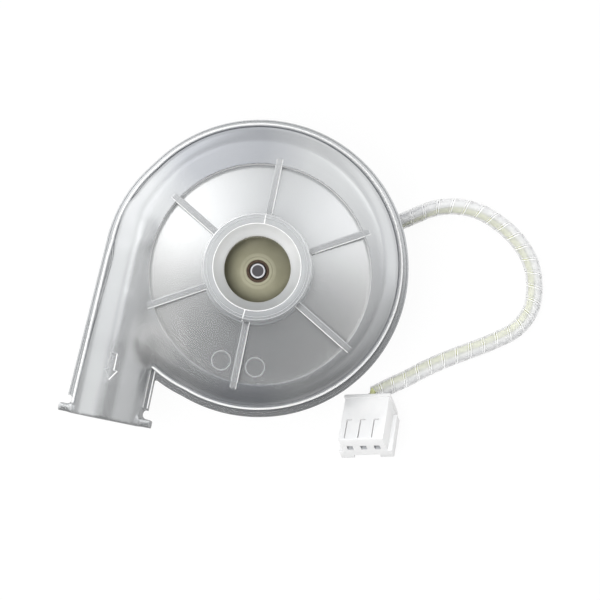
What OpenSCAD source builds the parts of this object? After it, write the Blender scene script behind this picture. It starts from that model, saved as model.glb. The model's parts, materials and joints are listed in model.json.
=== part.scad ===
// Miniature centrifugal blower: clear volute housing with a tangential outlet pipe,
// brushless inner-rotor motor in a cup below it, and a wrapped three-wire lead with a plug.
// Origin on the shaft axis at the underside of the end cap; +Z points to the air inlet;
// the outlet pipe runs along -Y on the -X side. Millimetres.

/* [Volute] */
// Height of the parting plane between the two housing halves
parting_z = 17; // [17:0.1:17.4]
// Radius of the parting flange
flange_r = 26.05; // [25.9:0.05:26.3]
// Thickness of each half's parting flange
flange_t = 0.8; // [0.7:0.1:1.1]
// How far the lower flange stands out past the upper one
flange_step = 0.35; // [0.2:0.05:0.5]
// How far the flange stands out from the shell
flange_lip = 1.25; // [1:0.05:1.4]
// Wall of the shell
shell_wall = 1.1; // [1:0.05:1.2]
// Height of the shoulder's crest over the parting plane, each half
crest_h = 5.4; // [5.3:0.1:5.6]
// Rounding of the shoulder's outer edge
shoulder_r = 3.6; // [3.4:0.1:3.8]
// How far the shell's centre lies from the shaft toward the back
shell_y = 0.9; // [0.8:0.1:1]
// How far the scroll's wide side is shifted toward the outlet
scroll_x = -2.6; // [-2.7:0.1:-2.5]
// Radius of the flange round the scroll's wide side
scroll_r = 24.45; // [24.3:0.05:24.6]

/* [Inlet face] */
// How far the sunk face lies below the crest
face_drop = 2; // [1.9:0.1:2.1]
// Thickness of the face
face_t = 1; // [0.9:0.05:1.1]
// Sideways shift of the sunk face
recess_x = 0.6; // [0.5:0.1:0.7]
// Shift of the sunk face along Y
recess_y = -0.7; // [-0.8:0.1:-0.6]
// Radius of the sunk face
recess_r = 19; // [18.8:0.1:19.2]
// Width of the rounded slope round the sunk face
slope_w = 3.2; // [3:0.1:3.3]
// How far the face rises from its edge toward the collar
face_rise = 0.8; // [0.6:0.1:0.9]
// Number of ribs on the face
rib_count = 6; // [4:1:8]
// Width of a rib
rib_w = 1.25; // [1:0.05:1.5]
// Height of a rib over the face's edge
rib_h = 1.85; // [1.7:0.05:1.95]
// How far the ribs run up the slope
rib_reach = 1.2; // [1:0.1:1.4]
// Radius of the inlet hole
inlet_r = 5.7; // [5.5:0.1:5.9]
// Outside radius of the inlet collar
collar_r = 9.25; // [9.1:0.05:9.4]
// Height of the collar over the face
collar_h = 5.2; // [4.8:0.1:5.6]
// How far the collar's foot stands out from it
collar_foot = 0.35; // [0.25:0.05:0.4]
// Height over the face at which the inlet hole starts to flare
flare_start = 2; // [1.8:0.1:2.4]
// Radius of the mouth at the collar's rim
mouth_r = 7.7; // [7.5:0.1:7.8]

/* [Outlet] */
// Distance of the outlet pipe's axis from the shaft
pipe_x = 20.85; // [20.7:0.05:21]
// Outside radius of the outlet pipe
pipe_r = 6.25; // [6.2:0.05:6.4]
// Bore radius of the outlet pipe
pipe_bore_r = 5.25; // [5.1:0.05:5.3]
// Distance of the pipe's open end from the shaft
pipe_end = 30.4; // [29.8:0.2:31]
// Radius of the pipe where it leaves the scroll
pipe_root_r = 4.8; // [4.7:0.05:4.9]
// Distance from the shaft at which the pipe reaches its full radius
pipe_full = 17; // [16.8:0.1:17.2]
// Half the width of the two end ears
ear_half_w = 8; // [7.8:0.1:8.2]
// Thickness of an ear along the pipe
ear_t = 1.4; // [1.2:0.1:1.6]
// Half the height of an ear
ear_half_h = 2.6; // [2.4:0.1:2.8]
// How far the ears stand back from the pipe's end
ear_back = 0.1; // [0.1:0.1:0.4]
// Gap between the side strips and the ears
strip_gap = 1.5; // [1.3:0.1:1.7]
// How far the side strips stand out from the pipe
strip_w = 0.85; // [0.7:0.05:1]
// Length of the raised flow arrow
arrow_l = 4.6; // [4.2:0.2:5]
// Width of the arrow's head
arrow_w = 2.2; // [2:0.1:2.4]
// Height of raised marks
mark_h = 0.2; // [0.15:0.05:0.3]

/* [Motor cup] */
// Outside radius of the motor cup
cup_r = 15; // [14.9:0.1:15.2]
// Wall of the motor cup
cup_wall = 1.2; // [1.1:0.05:1.2]
// Thickness of the end cap
cap_t = 1.4; // [1.3:0.1:1.4]
// Pitch radius of the end cap screws
cap_screw_pr = 16.4; // [16.3:0.1:16.6]
// Radius of the bosses round the end cap screws
cap_boss_r = 2.2; // [2.1:0.1:2.3]
// Radius of the shank of an end cap screw
cap_screw_r = 1; // [0.9:0.05:1]
// Length of an end cap screw
cap_screw_l = 6; // [5.5:0.5:7]
// Radius of the motor plate
plate_r = 16.6; // [16.55:0.05:16.7]
// Thickness of the motor plate
plate_t = 1.2; // [1.1:0.1:1.3]
// Pitch radius of the motor plate screws
plate_screw_pr = 15.1; // [15.05:0.05:15.15]
// Radius of the shank of a motor plate screw
plate_screw_r = 0.7; // [0.6:0.05:0.7]
// Length of a motor plate screw
plate_screw_l = 2.4; // [2.2:0.1:2.4]
// Radius of the bearing bosses
boss_r = 4.7; // [4.6:0.05:4.8]

/* [Shaft and bearings] */
// Radius of the shaft
shaft_r = 1.5; // [1.5:0.01:1.52]
// Height of the shaft's upper end
shaft_top = 19.4; // [19.2:0.1:19.6]
// Outside radius of the bearings
bearing_r = 3.5; // [3.5:0.01:3.52]
// Width of a bearing
bearing_w = 2.5; // [2.45:0.05:2.5]
// Radius of the bearing balls
ball_r = 0.55; // [0.53:0.01:0.55]
// Number of balls in a bearing
ball_count = 8; // [6:1:8]
// Thickness of a bearing race at the shoulders
race_t = 0.55; // [0.53:0.01:0.57]

/* [Motor] */
// Inner radius of the stator
stator_bore_r = 4.5; // [4.5:0.02:4.56]
// Height of the underside of the stator's laminations
stator_z = 5.9; // [5.9:0.05:6]
// Height of the lamination stack
stator_h = 4.6; // [4.4:0.1:4.6]
// Number of stator teeth
tooth_count = 6; // [6:3:6]
// Width of a stator tooth
tooth_w = 2.4; // [2.2:0.1:2.5]
// Thickness of the stator's outer ring
yoke_t = 2.8; // [2.6:0.1:2.9]
// Thickness of the end insulators
insulator_t = 0.6; // [0.5:0.05:0.65]
// Thickness of the winding on each side of its tooth
coil_t = 1.1; // [0.9:0.05:1.15]
// Radius of the rotor magnet
magnet_r = 3.9; // [3.85:0.01:3.92]
// Height of the rotor magnet
magnet_h = 5.6; // [5.4:0.1:5.6]
// Thickness of the sleeve round the magnet
sleeve_t = 0.2; // [0.15:0.01:0.22]
// Thickness of the circuit board
board_t = 0.8; // [0.7:0.05:0.85]

/* [Impeller] */
// Radius of the impeller
impeller_r = 16.8; // [16.4:0.1:16.9]
// Thickness of the impeller's back plate
back_t = 0.8; // [0.7:0.05:0.9]
// Number of impeller blades
blade_count = 12; // [10:1:13]
// Thickness of a blade
blade_t = 0.6; // [0.5:0.05:0.7]
// Radius where the blades begin
blade_in_r = 6.3; // [6.2:0.1:6.6]
// Radius of the hub's nose
nose_r = 2.6; // [2.5:0.05:2.8]
// Radius of the bush in the hub
bush_r = 1.97; // [1.95:0.01:2]

/* [Lead and plug] */
// Direction in which the lead leaves the motor cup
lead_angle = 34; // [32:1:36]
// Height of the grommet's axis
lead_z = 3.6; // [3.6:0.02:3.66]
// Outside radius of the grommet
grommet_r = 2.1; // [2.05:0.05:2.1]
// Radius of the grommet's outer collar
grommet_collar_r = 2.6; // [2.5:0.1:2.8]
// Outside radius of the wrapped lead
lead_r = 1.5; // [1.4:0.05:1.5]
// Radius of one wire of the lead
wire_r = 0.55; // [0.5:0.05:0.6]
// Pitch of the plug's contacts
contact_pitch = 2.5; // [2.5:0.04:2.54]
// Width of the plug's front
plug_w = 8.2; // [8:0.1:8.4]
// Width of the plug over its rear wings
plug_wing_w = 9.8; // [9.6:0.1:10]
// Thickness of the plug
plug_t = 5.6; // [5.4:0.1:5.7]
// Length of the plug
plug_l = 9.8; // [9.5:0.1:10]

/* [Hidden] */
$fn = 64;

// Small overlap that joins solids of one piece, and reach of cutting tools past a face.
eps = 0.2;
over = 1;
// Reach of the air space under the parting plane, and of a cone past the face it opens on.
air_below = 1.5;
hair = 0.02;
// Half the size of the block that cuts the pipe at the parting plane.
half_block = 40;
// Running gaps of the impeller to the face and to the motor plate.
face_gap = 0.4;
plate_gap = 0.6;

crest_z = parting_z + crest_h;
face_z = crest_z - face_drop;
face_under = face_z - face_t;
collar_top = face_z + collar_h;
// The collar's foot ends just over the ribs, so that a boot can seat on it.
foot_h = rib_h + 0.05;
shell_r = flange_r - flange_lip;
scroll_shell_r = scroll_r - flange_lip;
slope_wall = 0.6;
// The slope is an arc that ends almost level with the crest.
slope_top = face_drop + 0.05;
slope_arc_r = (slope_w * slope_w + slope_top * slope_top) / (2 * slope_top);
// Run of the face's rise for each unit of height.
face_slope = (recess_r - collar_r) / face_rise;
strip_end = pipe_end - ear_back - ear_t - strip_gap;
// Wall of the pipe where it leaves the scroll, and where its bore starts.
root_wall = 1;
bore_start = 4;

// Flow arrow on the pipe: start, stem, outline and depth it is rooted to.
arrow_start = 19;
arrow_stem = 0.5;
arrow_line = 0.25;
arrow_head = 1.7;
arrow_root = 0.4;

// Two plain date circles on the face; they stand mark_h over its highest point under them.
date_r = 1.75;
date_line = 0.25;
date_x = 2.95;
date_y = -16.5;
date_face = (recess_r - (recess_y - date_y - date_r)) / face_slope;

// Motor plate and impeller heights, stacked down from the face.
blade_top = face_under - face_gap;
back_z = parting_z - 1.6;
plate_top = back_z - plate_gap;
plate_z = plate_top - plate_t;
cup_in_r = cup_r - cup_wall;
volute_floor = parting_z - crest_h;
hub_wall_r = impeller_r + 0.6;
gasket_t = 0.4;

// Spigot of the end cap in the cup.
spigot_gap = 0.05;
spigot_t = 1.05;
spigot_h = 1;
// Hexagon sockets of the screws.
cap_key_r = 0.7;
cap_key_h = 0.6;
plate_key_r = 0.45;
plate_key_h = 0.4;

// Bearing seats.
seat_lip = 0.4;
lower_seat_z = 0.8;
washer_h = 0.3;
lower_bearing_z = lower_seat_z + washer_h;
upper_bearing_z = plate_top - seat_lip - bearing_w;
upper_boss_z = upper_bearing_z;
lower_boss_top = lower_bearing_z + bearing_w;
race_r = (shaft_r + bearing_r) / 2;
ball_gap = 0.04;
washer_gap = 0.05;
washer_w = 0.65;
shield_t = 0.15;
shield_gap = 0.08;
cage_gap = 0.3;
pocket_gap = 0.03;
cage_h = 1.8;
shaft_z = lower_seat_z + 0.15;
shaft_chamfer = 0.35;

// Rotor stack between the bearings.
magnet_z = stator_z + stator_h / 2 - magnet_h / 2;
sleeve_over = 0.2;
balance_t = 0.5;
spacer_r = 2;
bush_gap = 0.4;
bush_below = 0.6;

// Stator details.
tip_t = 0.8;
tip_slot = 0.9;
insulator_step = 1.2;
coil_in_r = 6;
coil_out_r = 10.2;
coil_end = 0.55;

// Circuit board on its posts.
board_r = 12.4;
board_in_r = boss_r + 0.3;
board_z = lower_boss_top;
board_post_r = 1.1;
board_post_pr = 11;
notch_w = 3.4;
notch_r = 9.6;

// Grommet along the lead's direction.
grommet_in = 12.7;
grommet_out = 16.4;
grommet_collar_t = 1.2;
lead_start = 13.9;
lead_spread = 1;
core_r = 0.4;
seat_gap = 0.1;

// Impeller blades are arcs of one circle from the inner end to the rim.
blade_arc_r = 12;
blade_cx = 0.72;
blade_cy = -10.63;
blade_root = 0.3;
blade_end = 0.1;
// Hub: foot over the back plate, step inside it, and rounding of the nose.
hub_foot = 1.2;
hub_step = 0.9;
hub_rise = 2;
nose_drop = 0.4;
nose_round = 0.7;

// Plug: wire end at its origin, mating end along -Y, front up, lying tilted on its wire end.
plug_at = [24.3, -18, 3.75];
plug_yaw = 0.5;
plug_pitch = 33;
plug_roll = 22;
plug_wall = 0.8;
wing_t = 2;
lip_l = 0.7;
window_w = 1.5;
window_l = 4.4;
cavity_w = 1.9;
contact_w = 1.5;
contact_wall = 0.3;
contact_start = 2;
contact_end = 1;
wing_back = 2;
lip_side = 0.2;
lip_front = 0.25;
hollow_l = 3;
hollow_d = 0.8;
// One wire from the bundle to the plug: places along it, and its spread at each.
wire_back = 2.2;
wire_bend = 1.1;
wire_mouth = 0.3;
bundle_r = 0.62;
bend_r = 1.3;
bundle_up = 0.5;
bundle_down = -0.4;

// Route of the lead from the grommet over the floor to the plug.
lead_route = [
    [11.6, 7.8, 3.6], [13.8, 9.3, 3.6], [17.2, 11.7, 3.2], [21, 14.4, 2.1], [24.9, 17.1, 1.6],
    [28.6, 19.5, 1.6], [32.8, 20.7, 1.6], [37.2, 20.5, 1.6], [41.4, 18.9, 1.6],
    [45.1, 16.4, 1.6], [47.9, 13.1, 1.6], [49.4, 8.9, 1.6], [49.5, 4.6, 1.6],
    [47.6, 0.7, 1.6], [44.1, -2.2, 1.6], [40.4, -4.6, 1.6], [36.7, -6.9, 1.6],
    [33.1, -9.4, 1.6], [29.8, -12.1, 1.6], [26.9, -14.2, 1.9], [24.5, -16.1, 2.6]];

// ---- shared shapes ----

// One half shell, its rim on z = 0 and its crest at h: a disc with a rounded outer edge.
// below carries it on under the rim.
module half_shell(r, h, edge_r, below = 0) {
    rotate_extrude($fn = 128) {
        translate([0, -below]) square([r - edge_r, h + below]);
        translate([0, -below]) square([r, h + below - edge_r]);
        translate([r - edge_r, h - edge_r]) intersection() {
            circle(edge_r, $fn = 96);
            square(edge_r);
        }
    }
}

// Outer form of one half: round shell, wide side of the scroll, and the outlet pipe.
module half_outside() {
    translate([0, shell_y, 0]) half_shell(shell_r, crest_h, shoulder_r);
    translate([scroll_x, 0, 0]) half_shell(scroll_shell_r, crest_h, shoulder_r);
    upper_half() pipe_form(0, pipe_end);
}

// The pipe as a cone that opens into a tube; grow thins or thickens it.
module pipe_form(grow, reach) {
    translate([-pipe_x, 0, 0]) rotate([90, 0, 0]) {
        cylinder(h = pipe_full, r1 = pipe_root_r + grow, r2 = pipe_r + grow);
        translate([0, 0, pipe_full - eps]) cylinder(h = reach - pipe_full + eps, r = pipe_r + grow);
    }
}

module upper_half() {
    intersection() {
        children();
        translate([-half_block, -half_block, 0]) cube([2 * half_block, 2 * half_block, half_block]);
    }
}

// Flat parting flange of one half, with the strips beside the pipe; step draws it in.
module half_flange(step = 0) {
    right = -pipe_x + pipe_r + strip_w - step;
    translate([0, shell_y, 0]) cylinder(h = flange_t, r = flange_r - step, $fn = 128);
    translate([scroll_x, 0, 0]) cylinder(h = flange_t, r = scroll_r - step, $fn = 128);
    linear_extrude(flange_t)
        polygon([[scroll_x - scroll_r + step, 0], [-pipe_x - pipe_r - strip_w + step, -strip_end],
                 [right, -strip_end], [right, -pipe_full], [0, 0]]);
}

module half_ears() {
    translate([-pipe_x - ear_half_w, -pipe_end + ear_back, 0])
        cube([2 * ear_half_w, ear_t, ear_half_h]);
}

// Air space of one half: the ring channel, its wide side and the pipe's bore.
module half_air() {
    inner_edge = shoulder_r - shell_wall;
    translate([0, shell_y, 0])
        half_shell(shell_r - shell_wall, crest_h - shell_wall, inner_edge, air_below);
    translate([scroll_x, 0, 0])
        half_shell(scroll_shell_r - shell_wall, crest_h - shell_wall, inner_edge, air_below);
    pipe_bore();
}

module pipe_bore() {
    translate([-pipe_x, 0, 0]) rotate([90, 0, 0]) {
        translate([0, 0, bore_start])
            cylinder(h = pipe_full - bore_start, r1 = pipe_root_r - root_wall, r2 = pipe_bore_r);
        translate([0, 0, pipe_full - eps])
            cylinder(h = pipe_end - pipe_full + over, r = pipe_bore_r);
    }
}

// The sunk face with its rounded slope, open upward; the face rises toward the collar.
module recess_form(z, r) {
    translate([recess_x, recess_y, z]) difference() {
        rotate_extrude($fn = 128) difference() {
            square([r + slope_w, face_drop + face_t + over]);
            translate([r + slope_w, slope_top - slope_arc_r]) circle(slope_arc_r, $fn = 96);
        }
        translate([0, 0, -over])
            cylinder(h = over + face_rise, r1 = r + over * face_slope, r2 = collar_r, $fn = 128);
    }
}

// Screws with a flat countersunk head, head face on z = 0, shank up.
module screw(r, length) {
    cylinder(h = r, r1 = 2 * r, r2 = r);
    cylinder(h = length, r = r);
}

module around(count, radius, start = 0) {
    for (i = [0 : count - 1])
        rotate([0, 0, start + i * 360 / count]) translate([radius, 0, 0]) children();
}

module ring(outer, inner, h) {
    difference() {
        cylinder(h = h, r = outer);
        translate([0, 0, -over]) cylinder(h = h + 2 * over, r = inner);
    }
}

// ---- housing ----

module inlet_cover() {
    color([0.9, 0.91, 0.88, 0.6]) difference() {
        union() {
            translate([0, 0, parting_z]) difference() {
                union() {
                    half_outside();
                    half_flange(flange_step);
                    half_ears();
                }
                recess_form(face_z - parting_z, recess_r);
                // air space, kept clear of the face
                difference() {
                    half_air();
                    recess_form(face_under - parting_z, recess_r + slope_wall);
                }
            }
            face_ribs();
            inlet_collar();
            flow_arrow();
            date_circles();
        }
        translate([0, 0, face_under - over])
            cylinder(h = face_t + over + flare_start + hair, r = inlet_r);
        translate([0, 0, face_z + flare_start])
            cylinder(h = collar_h - flare_start + hair, r1 = inlet_r, r2 = mouth_r);
    }
}

module face_ribs() {
    intersection() {
        around(rib_count, 0, 30) translate([inlet_r + 1, -rib_w / 2, face_z - eps])
            cube([recess_r, rib_w, rib_h + eps]);
        translate([recess_x, recess_y, face_z - eps])
            cylinder(h = rib_h + over, r = recess_r + rib_reach, $fn = 128);
    }
}

module inlet_collar() {
    translate([0, 0, face_z - eps]) {
        cylinder(h = collar_h + eps, r = collar_r, $fn = 96);
        cylinder(h = foot_h + eps, r = collar_r + collar_foot, $fn = 96);
    }
}

module date_circles() {
    for (side = [-1, 1]) translate([side * date_x, date_y, face_z - eps])
        ring(date_r, date_r - date_line, eps + date_face + mark_h);
}

// Outline of the arrow, with its start on y = 0 and its tip toward -Y.
module arrow_shape(stem, neck, half, tip) {
    polygon([[-stem, 0], [stem, 0], [stem, neck], [half, neck], [0, tip], [-half, neck], [-stem, neck]]);
}

module flow_arrow() {
    neck = arrow_head - arrow_l;
    half = arrow_w / 2;
    translate([-pipe_x, -arrow_start, parting_z + pipe_r - arrow_root])
        linear_extrude(arrow_root + mark_h) difference() {
            arrow_shape(arrow_stem, neck, half, -arrow_l);
            intersection() {
                arrow_shape(arrow_stem - arrow_line, neck - arrow_line, half - 2 * arrow_line,
                            2 * arrow_line - arrow_l);
                translate([-half, -arrow_l]) square([arrow_w, arrow_l - arrow_line]);
            }
        }
}

module motor_cover() {
    color([0.88, 0.89, 0.86, 0.6]) difference() {
        union() {
            translate([0, 0, parting_z]) mirror([0, 0, 1]) {
                half_outside();
                half_flange();
                half_ears();
            }
            translate([0, 0, cap_t]) cylinder(h = volute_floor + 1 - cap_t, r = cup_r);
            around(3, cap_screw_pr, 90) translate([0, 0, cap_t])
                cylinder(h = volute_floor + 1 - cap_t, r = cap_boss_r);
        }
        // air channel outside the hub wall
        difference() {
            translate([0, 0, parting_z]) mirror([0, 0, 1]) half_air();
            translate([0, 0, volute_floor]) cylinder(h = plate_top - volute_floor, r = hub_wall_r);
        }
        // seat of the motor plate and bore of the cup
        translate([0, 0, plate_z - gasket_t]) cylinder(h = gasket_t + plate_t + over, r = plate_r);
        translate([0, 0, cap_t - over]) cylinder(h = plate_z - cap_t + 2 * over, r = cup_in_r);
        around(3, cap_screw_pr, 90) translate([0, 0, cap_t - over])
            cylinder(h = cap_screw_l - cap_t + over, r = cap_screw_r);
        around(3, plate_screw_pr, 30) translate([0, 0, plate_top - plate_screw_l])
            cylinder(h = plate_screw_l, r = plate_screw_r);
        along_lead(0) cylinder(h = cup_r + over, r = grommet_r);
    }
}

// Turns +Z of its children along the lead's direction, starting at a radius.
module along_lead(radius) {
    rotate([0, 0, lead_angle]) translate([radius, 0, lead_z]) rotate([0, 90, 0]) children();
}

module plate_gasket() {
    color([0.2, 0.2, 0.2]) translate([0, 0, plate_z - gasket_t]) difference() {
        ring(plate_r, cup_in_r, gasket_t);
        around(3, plate_screw_pr, 30) translate([0, 0, -over])
            cylinder(h = gasket_t + 2 * over, r = plate_screw_r);
    }
}

module end_cap() {
    color([0.85, 0.86, 0.84]) difference() {
        union() {
            cylinder(h = cap_t, r = cup_r);
            around(3, cap_screw_pr, 90) cylinder(h = cap_t, r = cap_boss_r);
            translate([0, 0, cap_t - eps])
                ring(cup_in_r - spigot_gap, cup_in_r - spigot_gap - spigot_t, eps + spigot_h);
            cylinder(h = lower_boss_top, r = boss_r);
            around(3, board_post_pr, 90) cylinder(h = board_z, r = board_post_r);
        }
        translate([0, 0, lower_seat_z]) cylinder(h = lower_boss_top, r = bearing_r);
        around(3, cap_screw_pr, 90) screw(cap_screw_r, cap_t + over);
        along_lead(0) cylinder(h = cup_r + over, r = grommet_r + seat_gap);
    }
}

module end_cap_screws() {
    color("silver") around(3, cap_screw_pr, 90) difference() {
        screw(cap_screw_r, cap_screw_l);
        translate([0, 0, -over]) cylinder(h = over + cap_key_h, r = cap_key_r, $fn = 6);
    }
}

module motor_plate() {
    color([0.8, 0.81, 0.82]) difference() {
        union() {
            translate([0, 0, plate_z]) cylinder(h = plate_t, r = plate_r);
            translate([0, 0, upper_boss_z]) cylinder(h = plate_top - upper_boss_z, r = boss_r);
        }
        translate([0, 0, upper_bearing_z - over])
            cylinder(h = bearing_w + over, r = bearing_r);
        translate([0, 0, plate_z]) cylinder(h = plate_t + over, r = bush_r + bush_gap);
        around(3, plate_screw_pr, 30) translate([0, 0, plate_top]) mirror([0, 0, 1])
            screw(plate_screw_r, plate_t + over);
    }
}

module motor_plate_screws() {
    color("silver") around(3, plate_screw_pr, 30) translate([0, 0, plate_top]) mirror([0, 0, 1])
        difference() {
            screw(plate_screw_r, plate_screw_l);
            translate([0, 0, -over]) cylinder(h = over + plate_key_h, r = plate_key_r, $fn = 6);
        }
}

// ---- stator ----

module teeth(width, r_in, r_out, z, h) {
    around(tooth_count, r_in, 30) translate([0, -width / 2, z]) cube([r_out - r_in, width, h]);
}

// Tooth tips: a ring opened by a slot between each two teeth.
module tooth_tips(z, h) {
    difference() {
        translate([0, 0, z]) ring(stator_bore_r + tip_t, stator_bore_r, h);
        around(tooth_count, 0, 30 + 180 / tooth_count) translate([0, -tip_slot / 2, z - over])
            cube([stator_bore_r + tip_t + over, tip_slot, h + 2 * over]);
    }
}

module stator_core() {
    color([0.55, 0.56, 0.6]) union() {
        translate([0, 0, stator_z]) ring(cup_in_r, cup_in_r - yoke_t, stator_h);
        teeth(tooth_w, stator_bore_r + tip_t / 2, cup_in_r - yoke_t + eps, stator_z, stator_h);
        tooth_tips(stator_z, stator_h);
    }
}

module insulator(z) {
    color([0.92, 0.9, 0.82]) union() {
        translate([0, 0, z]) ring(cup_in_r - insulator_step, cup_in_r - yoke_t, insulator_t);
        teeth(tooth_w, stator_bore_r + tip_t / 2, cup_in_r - yoke_t + eps, z, insulator_t);
        tooth_tips(z, insulator_t);
    }
}

module upper_insulator() {
    insulator(stator_z + stator_h);
}

module lower_insulator() {
    insulator(stator_z - insulator_t);
}

module windings() {
    low = stator_z - insulator_t;
    high = stator_z + stator_h + insulator_t;
    color([0.72, 0.4, 0.2]) around(tooth_count, coil_in_r, 30) difference() {
        translate([0, -tooth_w / 2 - coil_t, low - coil_end])
            cube([coil_out_r - coil_in_r, tooth_w + 2 * coil_t, high - low + 2 * coil_end]);
        translate([-over, -tooth_w / 2, low])
            cube([coil_out_r - coil_in_r + 2 * over, tooth_w, high - low]);
    }
}

module circuit_board() {
    color([0.1, 0.4, 0.25]) translate([0, 0, board_z]) difference() {
        ring(board_r, board_in_r, board_t);
        rotate([0, 0, lead_angle]) translate([notch_r, -notch_w / 2, -over])
            cube([board_r - notch_r + over, notch_w, board_t + 2 * over]);
    }
}

module motor_leads() {
    color([0.9, 0.9, 0.8]) for (i = [-1 : 1]) rotate([0, 0, lead_angle])
        translate([notch_r, i * lead_spread, lead_z]) rotate([0, 90, 0])
            cylinder(h = lead_start - notch_r, r = core_r);
}

// ---- bearings ----

module preload_washer() {
    color("silver") translate([0, 0, lower_seat_z]) 
        ring(bearing_r - washer_gap, bearing_r - washer_gap - washer_w, washer_h);
}

module groove(z) {
    translate([0, 0, z + bearing_w / 2]) rotate_extrude()
        translate([race_r, 0]) circle(ball_r + ball_gap, $fn = 48);
}

module outer_race(z) {
    color([0.75, 0.76, 0.78]) difference() {
        translate([0, 0, z]) ring(bearing_r, bearing_r - race_t, bearing_w);
        groove(z);
    }
}

module inner_race(z) {
    color([0.78, 0.79, 0.8]) difference() {
        translate([0, 0, z]) ring(shaft_r + race_t, shaft_r, bearing_w);
        groove(z);
    }
}

module shields(z) {
    color([0.7, 0.7, 0.72]) for (end = [0, bearing_w - shield_t])
        translate([0, 0, z + end])
            ring(bearing_r - race_t, shaft_r + race_t + shield_gap, shield_t);
}

module balls(z) {
    color([0.85, 0.86, 0.88]) around(ball_count, race_r) translate([0, 0, z + bearing_w / 2])
        sphere(ball_r, $fn = 48);
}

module cage(z) {
    middle = z + bearing_w / 2;
    color([0.7, 0.55, 0.3]) difference() {
        translate([0, 0, middle - cage_h / 2])
            ring(bearing_r - race_t - cage_gap, shaft_r + race_t + cage_gap, cage_h);
        around(ball_count, race_r) translate([0, 0, middle])
            sphere(ball_r + pocket_gap, $fn = 48);
    }
}

module lower_outer_race() {
    outer_race(lower_bearing_z);
}

module upper_outer_race() {
    outer_race(upper_bearing_z);
}

module lower_shields() {
    shields(lower_bearing_z);
}

module upper_shields() {
    shields(upper_bearing_z);
}

module lower_inner_race() {
    inner_race(lower_bearing_z);
}

module upper_inner_race() {
    inner_race(upper_bearing_z);
}

module lower_balls() {
    balls(lower_bearing_z);
}

module upper_balls() {
    balls(upper_bearing_z);
}

module lower_cage() {
    cage(lower_bearing_z);
}

module upper_cage() {
    cage(upper_bearing_z);
}

// ---- rotor ----

module shaft() {
    c = shaft_chamfer;
    color([0.8, 0.8, 0.82]) rotate_extrude($fn = 96)
        polygon([[0, shaft_z], [shaft_r - c, shaft_z], [shaft_r, shaft_z + c],
                 [shaft_r, shaft_top - c], [shaft_r - c, shaft_top], [0, shaft_top]]);
}

module rotor_magnet() {
    color([0.3, 0.3, 0.32]) translate([0, 0, magnet_z]) ring(magnet_r, shaft_r, magnet_h);
}

module magnet_sleeve() {
    color([0.6, 0.6, 0.62]) translate([0, 0, magnet_z]) ring(magnet_r + sleeve_t, magnet_r, magnet_h);
}

module lower_balance_ring() {
    color([0.8, 0.65, 0.35]) difference() {
        union() {
            translate([0, 0, magnet_z - balance_t]) cylinder(h = balance_t, r = magnet_r);
            translate([0, 0, lower_boss_top]) cylinder(h = magnet_z - lower_boss_top, r = spacer_r);
        }
        translate([0, 0, lower_boss_top - over]) cylinder(h = magnet_h, r = shaft_r);
    }
}

module upper_balance_ring() {
    top = magnet_z + magnet_h;
    color([0.8, 0.65, 0.35]) difference() {
        union() {
            translate([0, 0, top]) cylinder(h = balance_t, r = magnet_r);
            translate([0, 0, top]) cylinder(h = upper_bearing_z - top, r = spacer_r);
        }
        translate([0, 0, top - over]) cylinder(h = magnet_h, r = shaft_r);
    }
}

module impeller_bush() {
    color([0.36, 0.3, 0.25]) translate([0, 0, upper_bearing_z + bearing_w])
        ring(bush_r, shaft_r, shaft_top - bush_below - upper_bearing_z - bearing_w);
}

module impeller() {
    nose_z = shaft_top - nose_drop;
    color([0.62, 0.6, 0.45]) difference() {
        union() {
            translate([0, 0, back_z]) cylinder(h = back_t, r = impeller_r, $fn = 128);
            rotate_extrude($fn = 96)
                polygon([[0, back_z], [blade_in_r, back_z], [blade_in_r, back_z + back_t],
                         [inlet_r, back_z + hub_foot], [inlet_r - hub_step, back_z + hub_rise],
                         [nose_r + hub_step, nose_z - nose_round], [nose_r, nose_z], [0, nose_z]]);
            around(blade_count, 0) blade();
        }
        translate([0, 0, back_z - over]) cylinder(h = nose_z - back_z + 2 * over, r = bush_r);
    }
}

// The block keeps one of the two stretches that the blade's circle has between hub and rim.
module blade() {
    h = blade_top - back_z;
    translate([0, 0, back_z]) intersection() {
        translate([blade_cx, blade_cy, 0])
            ring(blade_arc_r + blade_t / 2, blade_arc_r - blade_t / 2, h);
        ring(impeller_r - blade_end, blade_in_r - blade_root, h);
        translate([0, -impeller_r, -over])
            cube([2 * impeller_r, impeller_r + blade_arc_r, h + 2 * over]);
    }
}

// ---- lead and plug ----

module grommet() {
    color([0.25, 0.25, 0.26]) difference() {
        union() {
            along_lead(grommet_in) cylinder(h = grommet_out - grommet_in, r = grommet_r);
            along_lead(grommet_out - grommet_collar_t)
                cylinder(h = grommet_collar_t, r = grommet_collar_r);
        }
        along_lead(lead_start) cylinder(h = grommet_out, r = lead_r + seat_gap);
        for (i = [-1 : 1]) rotate([0, 0, lead_angle])
            translate([notch_r, i * lead_spread, lead_z]) rotate([0, 90, 0])
                cylinder(h = grommet_out, r = core_r);
    }
}

// Sweep: one ring of corners square to the route at each of its points.
function unit(v) = v / norm(v);
function heading(route, i) =
    unit(route[min(i + 1, len(route) - 1)] - route[max(i - 1, 0)]);
function side_of(d) = unit(cross(d, [0, 0, 1]));
function ring_at(p, d, r, n) = [for (k = [0 : n - 1])
    p + r * (cos(k * 360 / n) * side_of(d) + sin(k * 360 / n) * cross(side_of(d), d))];

module sweep(route, r, n = 8) {
    last = len(route) - 1;
    polyhedron(
        points = [for (i = [0 : last]) each ring_at(route[i], heading(route, i), r, n)],
        faces = concat(
            [[for (k = [0 : n - 1]) k]],
            [for (i = [0 : last - 1], k = [0 : n - 1])
                [i * n + k, (i + 1) * n + k, (i + 1) * n + (k + 1) % n, i * n + (k + 1) % n]],
            [[for (k = [n - 1 : -1 : 0]) last * n + k]]));
}

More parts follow.
